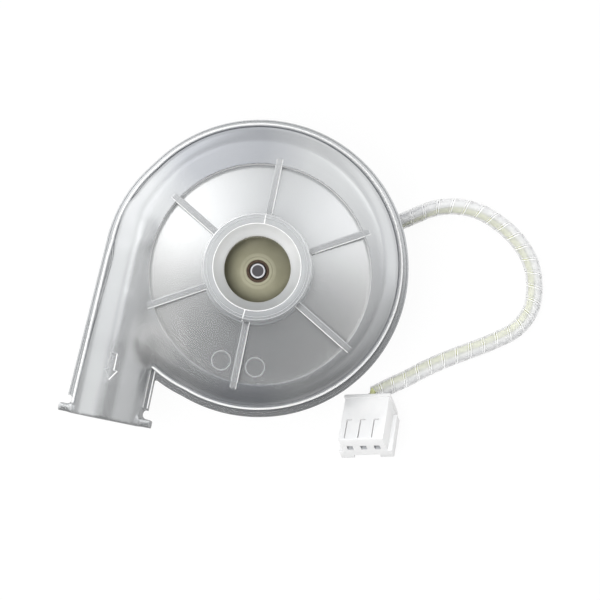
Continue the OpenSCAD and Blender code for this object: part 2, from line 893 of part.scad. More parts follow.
module lead_wrap() {
    color([0.92, 0.93, 0.88]) sweep(lead_route, lead_r);
}

module at_plug() {
    translate(plug_at) rotate([0, 0, plug_yaw]) rotate([-plug_pitch, 0, 0])
        rotate([0, -plug_roll, 0]) children();
}

// Three wires leave the wrap as a bundle and spread to the plug's pitch.
module plug_wires() {
    color([0.9, 0.9, 0.7]) at_plug() for (i = [-1 : 1])
        sweep([[i * bundle_r, wire_back, i == 0 ? bundle_up : bundle_down], [i * bend_r, wire_bend, 0],
               [i * contact_pitch, -wire_mouth, 0], [i * contact_pitch, -contact_start, 0]], wire_r);
}

module plug_housing() {
    front = plug_t / 2;
    inside = plug_w / 2 - plug_wall;
    color([0.93, 0.93, 0.9]) at_plug() difference() {
        union() {
            translate([-plug_w / 2, -plug_l, -front]) cube([plug_w, plug_l, plug_t]);
            // rear wings, shorter than the body at the wire end
            translate([-plug_wing_w / 2, -plug_l, -front])
                cube([plug_wing_w, plug_l - wing_back, wing_t]);
            // lip round the wire end
            translate([-plug_w / 2 - lip_side, -lip_l, -front])
                cube([plug_w + 2 * lip_side, lip_l, plug_t + lip_front]);
        }
        for (i = [-1 : 1]) translate([i * contact_pitch, 0, 0]) {
            translate([-cavity_w / 2, -plug_l - over, -cavity_w / 2])
                cube([cavity_w, plug_l + 2 * over, cavity_w]);
            // window in the front face, open to the mating end
            translate([-window_w / 2, -plug_l - over, 0])
                cube([window_w, window_l + over, front + over]);
        }
        // hollow between the wings on the back
        translate([-inside, -plug_l - over, -front - over])
            cube([2 * inside, hollow_l + over, hollow_d + over]);
    }
}

module plug_contacts() {
    color([0.85, 0.85, 0.83]) at_plug() for (i = [-1 : 1])
        translate([i * contact_pitch - contact_w / 2, -plug_l + contact_end, -cavity_w / 2])
            difference() {
                cube([contact_w, plug_l - contact_end - contact_start, contact_w]);
                translate([contact_wall, -over, contact_wall])
                    cube([contact_w - 2 * contact_wall, plug_l - 2 * contact_end - contact_start,
                          contact_w - 2 * contact_wall]);
            }
}

inlet_cover();
motor_cover();
plate_gasket();
end_cap();
end_cap_screws();
motor_plate();
motor_plate_screws();
stator_core();
upper_insulator();
lower_insulator();
windings();
circuit_board();
motor_leads();
preload_washer();
lower_outer_race();
upper_outer_race();
lower_shields();
upper_shields();
lower_inner_race();
upper_inner_race();
lower_balls();
upper_balls();
lower_cage();
upper_cage();
shaft();
rotor_magnet();
magnet_sleeve();
lower_balance_ring();
upper_balance_ring();
impeller_bush();
impeller();
grommet();
lead_wrap();
plug_wires();
plug_housing();
plug_contacts();
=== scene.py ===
import bpy
import json
from bisect import bisect_right
from math import atan2, copysign, cos, dist, exp, hypot, pi, radians, sin, sqrt
from mathutils import Matrix, Vector

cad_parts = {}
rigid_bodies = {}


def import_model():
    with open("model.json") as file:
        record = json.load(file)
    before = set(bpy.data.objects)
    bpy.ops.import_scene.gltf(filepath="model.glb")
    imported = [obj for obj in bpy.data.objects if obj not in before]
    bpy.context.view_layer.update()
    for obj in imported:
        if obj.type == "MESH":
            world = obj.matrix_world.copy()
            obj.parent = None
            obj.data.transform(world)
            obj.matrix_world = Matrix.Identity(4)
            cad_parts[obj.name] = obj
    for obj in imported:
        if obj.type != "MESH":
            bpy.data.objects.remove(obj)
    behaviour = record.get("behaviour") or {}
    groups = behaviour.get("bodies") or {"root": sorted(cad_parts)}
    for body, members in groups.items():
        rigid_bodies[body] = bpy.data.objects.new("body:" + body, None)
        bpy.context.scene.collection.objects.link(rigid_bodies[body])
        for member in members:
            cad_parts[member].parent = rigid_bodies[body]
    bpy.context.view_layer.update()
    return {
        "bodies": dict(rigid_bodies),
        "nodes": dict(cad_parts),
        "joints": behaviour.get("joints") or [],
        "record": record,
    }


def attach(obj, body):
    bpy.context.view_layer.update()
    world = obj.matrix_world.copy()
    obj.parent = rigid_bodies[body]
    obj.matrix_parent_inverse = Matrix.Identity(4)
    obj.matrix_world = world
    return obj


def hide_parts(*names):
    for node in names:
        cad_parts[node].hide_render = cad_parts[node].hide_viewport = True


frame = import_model()
nodes = frame["nodes"]
mm = 0.001
print("frame loaded:", len(nodes), "nodes")


class Sig:
    # one output socket; Python operators on it add Math nodes
    def __init__(self, tree, socket):
        self.tree = tree
        self.socket = socket

    def add(self, kind, settings, inputs, output=0):
        node = self.tree.nodes.new(kind)
        for name, value in settings.items():
            setattr(node, name, value)
        for name, value in inputs.items():
            if isinstance(value, Sig):
                self.tree.links.new(value.socket, node.inputs[name])
            else:
                node.inputs[name].default_value = value
        return Sig(self.tree, node.outputs[output])

    def maths(self, operation, a, b=0.0):
        return self.add("ShaderNodeMath", {"operation": operation}, {0: a, 1: b})

    def __add__(self, other):
        return self.maths("ADD", self, other)

    def __radd__(self, other):
        return self.maths("ADD", other, self)

    def __sub__(self, other):
        return self.maths("SUBTRACT", self, other)

    def __rsub__(self, other):
        return self.maths("SUBTRACT", other, self)

    def __mul__(self, other):
        return self.maths("MULTIPLY", self, other)

    def __rmul__(self, other):
        return self.maths("MULTIPLY", other, self)

    def __pow__(self, other):
        return self.maths("POWER", self, other)

    def noise(self, scale, detail):
        return self.add("ShaderNodeTexNoise", {}, {"Vector": self, "Scale": scale, "Detail": detail})

    def part(self, name):
        return self.add("ShaderNodeSeparateXYZ", {}, {0: self}, name)

    def span(self, low, high, toLow=0.0, toHigh=1.0):
        return self.add("ShaderNodeMapRange", {}, {
            "Value": self, "From Min": low, "From Max": high, "To Min": toLow, "To Max": toHigh})

    def blend(self, first, second):
        # plain colours are screen values, 0 to 255
        first, second = (rgb(*look) if isinstance(look, tuple) else look for look in (first, second))
        return self.add("ShaderNodeMix", {"data_type": "RGBA"}, {0: self, 6: first, 7: second}, 2)

    def grey(self):
        return self.add("ShaderNodeCombineColor", {}, {"Red": self, "Green": self, "Blue": self})

    def bump(self, strength, depth):
        return self.add("ShaderNodeBump", {}, {"Height": self, "Strength": strength, "Distance": depth})


def apart(east, north):
    # distance from two socket values, one along each axis
    return (east * east + north * north) ** 0.5


def rayIs(tree, *kinds):
    # 1 for a ray of any of these kinds
    path = tree.nodes.new("ShaderNodeLightPath")
    seen = [Sig(tree, path.outputs[f"Is {kind} Ray"]) for kind in kinds]
    found = seen[0]
    for other in seen[1:]:
        found = found.maths("MAXIMUM", found, other)
    return found


def material(name, fixed, vary):
    # fixed values go on the shader's sockets; vary gives what changes over the surface
    made = bpy.data.materials.new(name)
    made.use_nodes = True
    tree = made.node_tree
    shader = tree.nodes["Principled BSDF"]
    for socket, value in fixed.items():
        shader.inputs[socket].default_value = value
    place = Sig(tree, tree.nodes.new("ShaderNodeTexCoord").outputs["Object"])
    for socket, value in vary(place).items():
        tree.links.new(value.socket, shader.inputs[socket])
    return made


def coated(roughness, weight, coatRoughness, **others):
    # fixed values of a finish with a clear coat; Metallic and Alpha may be added by name
    return {"Roughness": roughness, "Coat Weight": weight, "Coat Roughness": coatRoughness, **others}


def rgb(red, green, blue):
    # screen colour, 0 to 255, to the linear values that a socket takes
    return tuple((c / 255 / 12.92) if c <= 10 else ((c / 255 + 0.055) / 1.055) ** 2.4
        for c in (red, green, blue)) + (1.0,)


def placed(name, data):
    # a new object in the scene
    made = bpy.data.objects.new(name, data)
    bpy.context.scene.collection.objects.link(made)
    return made


def ramp(value, start=0.0, width=1.0):
    # climbs from 0 to 1 over the width
    return min(max((value - start) / width, 0.0), 1.0)


def circle(centre, side, up, radius, sides):
    return [centre + radius * (cos(a) * side + sin(a) * up)
        for a in (2 * pi * k / sides for k in range(sides))]


def spun(degrees):
    return Matrix.Rotation(radians(degrees), 3, "Z")


def autoSmooth(piece, degrees):
    # flat across sharp edges, smooth elsewhere
    mesh = piece.data
    mesh.polygons.foreach_set("use_smooth", [True] * len(mesh.polygons))
    mesh.set_sharp_from_angle(angle=radians(degrees))


class Shape:
    # collects vertices, faces and a material number for each face
    def __init__(self):
        self.verts = []
        self.faces = []
        self.slots = []

    def grid(self, rows, closeRow=False, closeColumn=False, slot=0):
        # rows of points, joined to their neighbours
        start = len(self.verts)
        count = len(rows[0])
        for row in rows:
            self.verts.extend(row)
        for i in range(len(rows) if closeColumn else len(rows) - 1):
            for j in range(count if closeRow else count - 1):
                here, there = start + i * count, start + (i + 1) % len(rows) * count
                self.faces.append((here + j, here + (j + 1) % count, there + (j + 1) % count, there + j))
                self.slots.append(slot)

    def cap(self, row, slot=0):
        start = len(self.verts)
        self.verts.extend(row)
        self.faces.append(tuple(range(start, start + len(row))))
        self.slots.append(slot)

    def bar(self, rows, slot=0):
        # closed rows with a cap on each end
        self.grid(rows, closeRow=True, slot=slot)
        self.cap(rows[0][::-1], slot)
        self.cap(rows[-1], slot)

    def tube(self, centres, frames, radius, sides, slot=0):
        self.bar([circle(centre, *frame, radius, sides) for centre, frame in zip(centres, frames)], slot)

    def lathe(self, profile, steps=96, slot=0, closed=False, centre=(0.0, 0.0)):
        # profile of (radius, height) in millimetres turned about an upright axis
        rows = [[Vector((centre[0] + r * cos(a), centre[1] + r * sin(a), z)) * mm
            for r, z in profile] for a in (2 * pi * k / steps for k in range(steps))]
        self.grid(rows, closeColumn=True, closeRow=closed, slot=slot)

    def mesh(self, name):
        made = bpy.data.meshes.new(name)
        made.from_pydata([tuple(v) for v in self.verts], [], self.faces)
        return made

    def piece(self, name, looks, body="housing", smooth=True):
        mesh = self.mesh(name)
        mesh.validate()
        mesh.update()
        mesh.polygons.foreach_set("use_smooth", [smooth] * len(mesh.polygons))
        for look in looks:
            mesh.materials.append(look)
        piece = placed(name, mesh)
        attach(piece, body)
        mesh.polygons.foreach_set("material_index", self.slots)
        return piece


def curved(points, steps):
    # smooth curve through the points
    made = []
    for i in range(len(points) - 1):
        before = points[max(i - 1, 0)]
        after = points[min(i + 2, len(points) - 1)]
        a, b = points[i], points[i + 1]
        for k in range(steps):
            t = k / steps
            made.append(0.5 * (2 * a + (b - before) * t + (2 * before - 5 * a + 4 * b - after) * t * t
                + (3 * a - before - 3 * b + after) * t ** 3))
    made.append(points[-1].copy())
    return made


class Route:
    # a smooth line with its own length, and a frame at any distance along it
    def __init__(self, points):
        self.points = points
        self.reach = [0.0]
        for a, b in zip(points, points[1:]):
            self.reach.append(self.reach[-1] + (b - a).length)
        self.length = self.reach[-1]

    def at(self, distance):
        distance = min(max(distance, 0.0), self.length)
        high = min(bisect_right(self.reach, distance), len(self.points) - 1)
        low = high - 1
        share = (distance - self.reach[low]) / (self.reach[high] - self.reach[low])
        place = self.points[low].lerp(self.points[high], share)
        before = self.points[max(low - 1, 0)]
        after = self.points[min(high + 1, len(self.points) - 1)]
        ahead = (after - before).normalized()
        side = ahead.cross(Vector((0, 0, 1))).normalized()
        return place, side, side.cross(ahead)


# camera: stands over the blower, a little toward the outlet side
camera = {"from": (13.32, -28.91, 315.86), "target": (8.11, -3.29, 17.0),
    "top": (-0.199, 0.976, 0.087), "lens": 103.5}
viewer = placed("camera", bpy.data.cameras.new("camera"))
viewer.data.lens = camera["lens"]
viewer.data.sensor_width = 36.0
viewer.data.clip_start = 0.01
viewer.data.clip_end = 5.0
sight = (Vector(camera["target"]) - Vector(camera["from"])).normalized()
right = sight.cross(Vector(camera["top"])).normalized()
upright = right.cross(sight)
viewer.matrix_world = Matrix([
    (right[k], upright[k], -sight[k], camera["from"][k] * mm) for k in range(3)] + [(0, 0, 0, 1)])
bpy.context.scene.camera = viewer
print("camera placed")


# lead: a spiral wrap over three wires, from the grommet over the floor to the plug
lead = {"route": [(11.6, 7.8, 3.6), (13.8, 9.3, 3.6), (17.2, 11.7, 3.2), (21, 14.4, 2.1), (24.9, 17.1, 1.6),
        (28.6, 19.5, 1.6), (32.8, 20.7, 1.6), (37.2, 20.5, 1.6), (41.4, 18.9, 1.6),
        (45.1, 16.4, 1.6), (47.9, 13.1, 1.6), (49.4, 8.9, 1.6), (49.5, 4.6, 1.6),
        (47.6, 0.7, 1.6), (44.1, -2.2, 1.6), (40.4, -4.6, 1.6), (36.7, -6.9, 1.6),
        (33.1, -9.4, 1.6), (29.8, -12.1, 1.6), (26.9, -14.2, 1.9), (24.5, -16.1, 2.6)],
    "radius": 1.5, "wall": 0.2, "pitch": 2.6, "width": 2.44, "stepsPerTurn": 26,
    "wireRadius": 0.55, "wireRing": 0.64, "lipEase": 0.06, "lipShare": 0.86, "spots": 120,
    "turnAtHouse": -40.0, "turnAtPlug": 25.0, "rollStart": 0.12, "rollWidth": 0.3}


def wireTurn(share):
    # the bundle rolls a little between the housing and the loop
    eased = ramp(share, lead["rollStart"], lead["rollWidth"])
    eased = eased * eased * (3 - 2 * eased)
    return lead["turnAtHouse"] + (lead["turnAtPlug"] - lead["turnAtHouse"]) * eased


def wirePlace(route, distance, number):
    place, side, up = route.at(distance)
    angle = radians(wireTurn(distance / route.length) + 120 * number)
    reach = lead["wireRing"] * mm
    return place + reach * (cos(angle) * side + sin(angle) * up), (side, up)


def makeWrap(shape, route):
    steps = lead["stepsPerTurn"]
    total = int(route.length / (lead["pitch"] * mm) * steps) + steps
    outer = lead["radius"] * mm
    inner = outer - lead["wall"] * mm
    half = lead["width"] * mm / 2
    lip, ease = lead["lipShare"], outer - lead["lipEase"] * mm
    across = [(-1.0, inner), (-1.0, ease), (-lip, outer), (0.0, outer), (lip, outer),
        (1.0, ease), (1.0, inner), (0.0, inner)]
    rows = []
    for k in range(total):
        middle = lead["pitch"] * mm * (k - steps / 2) / steps
        angle = 2 * pi * k / steps
        row = []
        for share, radius in across:
            place, side, up = route.at(middle + share * half)
            row.append(place + radius * (cos(angle) * side + sin(angle) * up))
        rows.append(row)
    first = len(shape.slots)
    shape.grid(rows, closeRow=True, slot=0)
    for k in range(first, len(shape.slots)):
        if (k - first) % len(across) in (0, 1, 4, 5):
            shape.slots[k] = 4
    shape.cap(rows[0][::-1], slot=4)
    shape.cap(rows[-1], slot=4)


leadPath = curved([Vector(p) * mm for p in lead["route"]], 6)
leadRoute = Route(leadPath)
leadShape = Shape()
makeWrap(leadShape, leadRoute)
wireSpots = [leadRoute.length * k / lead["spots"] for k in range(lead["spots"] + 1)]
for number in range(3):
    spots = [wirePlace(leadRoute, d, number) for d in wireSpots]
    leadShape.tube([p for p, f in spots], [f for p, f in spots], lead["wireRadius"] * mm, 12,
        slot=number + 1)

wrapFilm = material("wrapFilm", coated(0.2, 0.6, 0.08, Alpha=0.34), lambda place: {
        "Base Color": place.noise(900.0, 4.0).span(0.35, 0.65).blend((232, 233, 234), (246, 246, 246)),
        "Normal": place.noise(1800.0, 3.0).bump(0.2, 0.00003)})
wrapEdge = material("wrapEdge", {"Roughness": 0.3, "Alpha": 0.85},
    lambda place: {"Base Color": place.noise(900.0, 2.0).blend((244, 244, 244), (252, 252, 252))})


def wireFinish(name, low, high):
    return material(name, coated(0.38, 0.25, 0.15), lambda place: {
            "Base Color": place.noise(500.0, 3.0).span(0.35, 0.65).blend(low, high),
            "Normal": place.noise(1500.0, 2.0).bump(0.2, 0.00002)})


yellowWire = wireFinish("yellowWire", (208, 212, 152), (220, 224, 172))
whiteWire = wireFinish("whiteWire", (236, 237, 238), (246, 247, 248))
greyWire = wireFinish("greyWire", (158, 160, 166), (176, 178, 184))
leadPiece = leadShape.piece("spiralWrappedLead", [wrapFilm, yellowWire, whiteWire, greyWire, wrapEdge])
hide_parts("lead_wrap")

# three wire ends from the wrap into the plug
plug = {"at": (24.3, -18.0, 3.75), "yaw": 0.5, "pitch": 33.0, "roll": 22.0,
    "contactPitch": 2.5, "mouth": 0.3, "inside": 2.0, "back": 1.2}
plugTurn = (Matrix.Rotation(radians(plug["yaw"]), 4, "Z") @ Matrix.Rotation(radians(-plug["pitch"]), 4, "X")
    @ Matrix.Rotation(radians(-plug["roll"]), 4, "Y"))
atPlug = Matrix.Translation(Vector(plug["at"]) * mm) @ plugTurn
endShape = Shape()
for number, cavity in enumerate((0, 1, -1)):
    along = [wirePlace(leadRoute, leadRoute.length - back * mm, number)[0] for back in (0.8, 0.0)]
    goal = [atPlug @ (Vector((cavity * plug["contactPitch"], y, 0)) * mm)
        for y in (plug["back"] * 0.5, -plug["mouth"], -plug["inside"])]
    line = curved(along + goal, 8)
    wireRoute = Route(line)
    frames = [wireRoute.at(d)[1:] for d in wireRoute.reach]
    endShape.tube(line, frames, lead["wireRadius"] * mm, 12, slot=number)
wireEnds = endShape.piece("plugWires", [yellowWire, whiteWire, greyWire])
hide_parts("plug_wires")
print("lead made:", round(leadRoute.length / mm, 1), "mm")


# moulded and metal finishes
def speckled(name, low, high, fixed, scale=300.0, grain=0.15, depth=0.00002):
    # colour drifts between two shades, with a fine grain
    def vary(place):
        look = {"Base Color": place.noise(scale, 4.0).span(0.3, 0.7).blend(low, high)}
        if grain:
            look["Normal"] = place.noise(scale * 6, 3.0).bump(grain, depth)
        return look
    return material(name, fixed, vary)


def turned(name, low, high, roughness, rings):
    # metal with fine tool rings round the shaft axis
    def vary(place):
        radius = apart(place.part("X"), place.part("Y"))
        lines = radius.maths("SINE", radius * rings)
        cloud = place.noise(700.0, 3.0)
        return {"Base Color": cloud.span(0.3, 0.7).blend(low, high),
            "Roughness": cloud.span(0.3, 0.7, roughness - 0.06, roughness + 0.06),
            "Normal": lines.bump(0.2, 0.00001)}
    return material(name, {"Metallic": 1.0}, vary)


satin = {"Roughness": 0.25, "Metallic": 0.66, "Transmission Weight": 0.5, "IOR": 1.45,
    "Coat Weight": 0.2, "Coat Roughness": 0.12}
# shades of the clear wall: low and high are its random tone, thin is a painted light colour and thick a
# painted shade colour; a spot is x, y and the radii in metres where it starts and ends to fade
tint = {"low": (208, 210, 212), "high": (217, 219, 220), "thick": (182, 185, 190), "thin": (241, 242, 242),
    "scale": 60.0, "face": (0.0006, -0.0007, 0.0188, 0.0191), "sideMiddle": 0.0023, "sideReach": 0.00026,
    "sideFade": (-0.012, 0.014, 1.15, 0.5), "root": (-0.0145, -0.0155, 0.002, 0.006),
    "top": (-0.010, 0.0205, 0.007, 0.015), "bottom": (0.002, -0.022, 0.003, 0.010)}
satinClear = speckled("satinClear", tint["low"], tint["high"], satin, tint["scale"], 0.0)


def coverPaintedShading(place):
    # painted light and shade: paler on the face toward its sides and beside the pipe's root, darker on the
    # shoulder at its top and bottom
    east, north = place.part("X"), place.part("Y")

    def spot(x, y, inner, outer):
        return apart(east - x, north - y).span(inner, outer, 1.0, 0.0)
    onFace = spot(*tint["face"])
    offset = east - tint["sideMiddle"]
    side = (offset * offset).span(0.0, tint["sideReach"])
    # thin is the mask of painted light, thick the mask of painted shade
    thin = onFace * side * north.span(*tint["sideFade"]) + spot(*tint["root"])
    thick = (spot(*tint["top"]) + spot(*tint["bottom"])) * (1.0 - onFace)
    base = place.noise(tint["scale"], 4.0).span(0.3, 0.7).blend(tint["low"], tint["high"])
    return {"Base Color": thin.blend(thick.blend(base, tint["thick"]), tint["thin"])}


coverClearPaintedShade = material("coverClearPaintedShade", satin, coverPaintedShading)


def shaded(name, low, high, fixed):
    # clear plastic with painted shade, darker toward -y and +x across the collar and paler toward +y and -x
    return material(name, fixed, lambda place: {
        "Base Color": (place.part("Y") - place.part("X") * 0.35).span(-0.008, 0.003).blend(low, high)})


# collar and mouth: painted shade on one side, painted light on the other
collarClear = shaded("collarClear", (196, 199, 201), (238, 240, 241),
    {"Roughness": 0.16, "Metallic": 0.15, "Transmission Weight": 0.6, "IOR": 1.45,
     "Coat Weight": 0.3, "Coat Roughness": 0.1})
mouthClear = shaded("mouthClear", (168, 171, 173), (246, 247, 247),
    {"Roughness": 0.35, "Transmission Weight": 0.25, "IOR": 1.45})
# painted light: a paler, less metallic finish that lightens the recess wall and gives faint bright lines on
# the marks
paintedPaleEdge = speckled("paintedPaleEdge", (196, 198, 200), (206, 208, 210),
    {"Roughness": 0.3, "Metallic": 0.3, "Transmission Weight": 0.3}, 200.0, 0.05)
# painted shade: a dark finish for thin lines beside the flange and along the strip
paintedShadeLine = speckled("paintedShadeLine", (136, 138, 142), (146, 148, 151),
    {"Roughness": 0.4, "Metallic": 0.3, "Transmission Weight": 0.2}, 200.0, 0.05)
satinCap = speckled("satinCap", (196, 198, 196), (210, 211, 208), coated(0.4, 0.3, 0.2), 80.0)
khakiNylon = speckled("khakiNylon", (142, 140, 118), (156, 153, 132), coated(0.42, 0.2, 0.25), 200.0)


def shaftPaintedHighlight(place):
    # ground end with a painted highlight: a bright, less metallic ring near its edge
    radius = apart(place.part("X"), place.part("Y"))
    ring = radius.span(0.00098, 0.00106) * radius.span(0.00126, 0.00132, 1.0, 0.0)
    return {"Base Color": ring.blend((112, 110, 114), (212, 212, 216)), "Metallic": 1.0 - ring * 0.9}


shaftSteel = material("shaftSteel", {"Roughness": 0.3}, shaftPaintedHighlight)
groundSteel = turned("groundSteel", (150, 148, 152), (186, 186, 190), 0.3, 30000.0)
bearingSteel = turned("bearingSteel", (188, 189, 192), (214, 215, 218), 0.18, 20000.0)
plateAluminium = turned("plateAluminium", (190, 192, 194), (214, 215, 216), 0.36, 12000.0)
turnedBrass = turned("turnedBrass", (178, 142, 74), (206, 172, 100), 0.3, 24000.0)
# the bush's dark brown is partly its bronze patina and partly painted shade of the recess it sits in
darkBronze = speckled("darkBronze", (78, 64, 54), (98, 82, 70),
    {"Roughness": 0.5, "Metallic": 0.5}, 2500.0, 0.4, 0.00003)
blackRubber = speckled("blackRubber", (34, 34, 36), (52, 52, 54), {"Roughness": 0.7}, 900.0, 0.3)
plugWhite = speckled("plugWhite", (228, 229, 230), (234, 234, 234), coated(0.34, 0.2, 0.2), 300.0, 0.04)
# painted shade: a darker copy of the plug's white for its side and mating faces, and a dark one inside the
# contact holes
plugShade = speckled("plugShade", (184, 186, 189), (191, 193, 195),
    {"Roughness": 0.8, "Specular IOR Level": 0.05}, 300.0, 0.04)
plugHoleShade = speckled("plugHoleShade", (58, 59, 62), (70, 71, 74), {"Roughness": 0.6}, 400.0, 0.04)
creamNylon = speckled("creamNylon", (226, 222, 204), (238, 235, 220), {"Roughness": 0.5}, 400.0)
cageNylon = speckled("cageNylon", (150, 112, 62), (172, 132, 78), {"Roughness": 0.5}, 900.0)
sinteredMagnet = speckled("sinteredMagnet", (92, 92, 96), (116, 116, 120),
    {"Roughness": 0.34, "Metallic": 0.9}, 1200.0, 0.3)
tinPlate = speckled("tinPlate", (196, 196, 192), (220, 220, 216),
    {"Roughness": 0.28, "Metallic": 1.0}, 900.0)

laminations = material("laminations", {"Metallic": 0.8, "Roughness": 0.45}, lambda place: {
        "Base Color": place.noise(600.0, 3.0).span(0.3, 0.7).blend((110, 112, 120), (140, 142, 150)),
        "Normal": place.add("ShaderNodeTexWave", {"bands_direction": "Z"}, {
            "Vector": place, "Scale": 400.0}).bump(0.6, 0.00005)})

copperWire = speckled("copperWire", (176, 96, 52), (204, 122, 70),
    coated(0.3, 0.4, 0.1, Metallic=0.8), 900.0)
blackResin = speckled("blackResin", (36, 36, 38), (50, 50, 53), {"Roughness": 0.5}, 1500.0, 0.3)
solderMask = speckled("solderMask", (30, 92, 58), (40, 110, 70), coated(0.35, 0.4, 0.12), 700.0, 0.2)
# painted highlight: a bright finish for rib edges, beads, seams and marks that catch the light
paintedHighlightEdge = speckled("paintedHighlightEdge", (243, 244, 244), (250, 250, 250),
    {"Roughness": 0.3, "Transmission Weight": 0.2, "Coat Weight": 0.5, "Coat Roughness": 0.1}, 200.0, 0.05)


levels = ("lower_", "upper_")
finishes = ((satinCap, ["end_cap"]), (blackRubber, ["plate_gasket", "grommet"]), (shaftSteel, ["shaft"]),
    (groundSteel, ["end_cap_screws", "motor_plate_screws", "preload_washer", "magnet_sleeve"]),
    (plateAluminium, ["motor_plate"]), (laminations, ["stator_core"]), (sinteredMagnet, ["rotor_magnet"]),
    (bearingSteel, [level + part for level in levels
                    for part in ("outer_race", "inner_race", "shields", "balls")]),
    (creamNylon, [level + "insulator" for level in levels]),
    (cageNylon, [level + "cage" for level in levels]),
    (turnedBrass, [level + "balance_ring" for level in levels]), (darkBronze, ["impeller_bush"]),
    (solderMask, ["circuit_board"]), (tinPlate, ["plug_contacts"]))
for finish, named in finishes:
    for name in named:
        slots = nodes[name].data.materials
        slots.clear()
        slots.append(finish)
print("finishes set on", sum(len(named) for finish, named in finishes), "nodes")


# cover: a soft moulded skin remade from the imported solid, with crisp parts set on it
cover = {"faceEdge": 21.0, "faceRise": 0.8, "faceDome": 0.04, "recess": (0.6, -0.7), "recessRadius": 19.0,
    "slopeWidth": 3.2, "slopeRise": 2.05, "slopeLift": 0.05, "crest": 22.4, "shoulder": 3.6,
    "shells": ((0.0, 0.9, 24.8), (-2.6, 0.0, 23.2)), "tilt": 0.044, "edgeRound": 0.05,
    "faceDeep": 0.85, "slopeDeep": 0.25, "packedDeep": 0.3, "wallBase": 0.9,
    "collarRadius": 9.25, "collarTop": 25.6, "footRadius": 9.6, "footTop": 22.3, "mouthRadius": 7.4,
    "inletRadius": 5.7, "collarCut": 0.25, "straightTop": 22.4, "inletBottom": 20.2,
    "ribCount": 6, "ribWidth": 1.25, "ribTop": 22.5, "ribReach": 1.2, "ribBevel": 0.17,
    "pipeX": -20.85, "pipeZ": 17.0, "pipeRadius": 6.25, "rootRadius": 4.8, "rootShown": 5.85,
    "rootBack": 8.0, "rootDrop": 0.011, "pipeFull": 17.0, "valleyFill": 1.6, "valleyReach": 1.6,
    "liftZ": (18.8, 1.5), "liftX": (-18.5, 3.0), "softZ": (18.6, 1.6), "softReach": (18.4, 0.8),
    "softFront": (-24.0, 5.0), "softBack": (-15.0, 6.0), "softSide": (8.0, 4.0),
    "arrowStart": -19.0, "voxel": 0.24, "cupVoxel": 0.3, "eases": 160, "parting": 17.0,
    "flangeThick": 0.8, "flangeLip": 1.25, "flangeBevel": 0.12, "stripWidth": 0.85, "stripEnd": 27.4,
    "upperIn": 0.35, "sink": 0.22, "dateAt": (2.95, -16.5), "dateRadius": 1.62, "seams": (92, 266),
    "beadEnd": -28.6, "lineEnd": -27.2, "stripAlong": (-19.4, -21.4, -23.4, -25.4, -27.0),
    "boss": (-14.6, -18.2),
    "bossForm": [(0.04, 19.4), (0.5, 19.4), (0.5, 20.5), (0.36, 20.72), (0.04, 20.76)]}
# lines round the shell: distance in from the flange's outline, height over the flange or None
# where the line lies on the shell, thickness and finish
# finish 0 is a painted highlight, 2 a painted shade line
rimLines = ((1.4, None, 0.24, 0), (1.05, 0.02, 0.1, 2), (1.8, None, 0.1, 2), (0.42, 0.0, 0.05, 2))
# lines on the right strip: distance in from its edge, thickness and finish
# finish 0 is a painted highlight, 2 a painted shade line
stripLines = ((0.22, 0.13, 0), (0.5, 0.1, 2), (0.95, 0.12, 0))
parting, crest, recessRadius = cover["parting"], cover["crest"], cover["recessRadius"]
pipeX, pipeRadius = cover["pipeX"], cover["pipeRadius"]


def reachOf(x, y):
    return hypot(x - cover["recess"][0], y - cover["recess"][1])


def faceHeight(x, y):
    # the sunk face, which rises toward the collar
    share = ramp(recessRadius - reachOf(x, y), 0.0, recessRadius - cover["collarRadius"])
    return cover["faceEdge"] + cover["faceRise"] * share + cover["faceDome"] * sin(pi * share)


def slopeHeight(reach):
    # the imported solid's slope round the face
    width, rise = cover["slopeWidth"], cover["slopeRise"]
    arc = (width * width + rise * rise) / (2 * rise)
    across = recessRadius + width - reach
    return crest + cover["slopeLift"] - arc + sqrt(max(arc * arc - across * across, 0.0))


def crownHeight(x, y):
    # top of the shoulder with nothing sunk into it
    best = 0.0
    for middleX, middleY, radius in cover["shells"]:
        out = hypot(x - middleX, y - middleY) - radius + cover["shoulder"]
        drop = cover["shoulder"] - sqrt(max(cover["shoulder"] ** 2 - max(out, 0.0) ** 2, 0.0))
        best = max(best, crest - drop)
    return best


def pipeHeight(x, radius=pipeRadius):
    return cover["pipeZ"] + sqrt(max(radius ** 2 - (x - pipeX) ** 2, 0.0))


def tilted(reach):
    # the shoulder's top falls a little outward
    return cover["tilt"] * (20.8 - min(max(reach, 17.0), 24.0))


def shellEdge(angle):
    # distance from the shaft to the shell's outer wall
    best = 0.0
    for middleX, middleY, radius in cover["shells"]:
        along = middleX * cos(angle) + middleY * sin(angle)
        across = middleX * sin(angle) - middleY * cos(angle)
        best = max(best, along + sqrt(radius * radius - across * across))
    return best


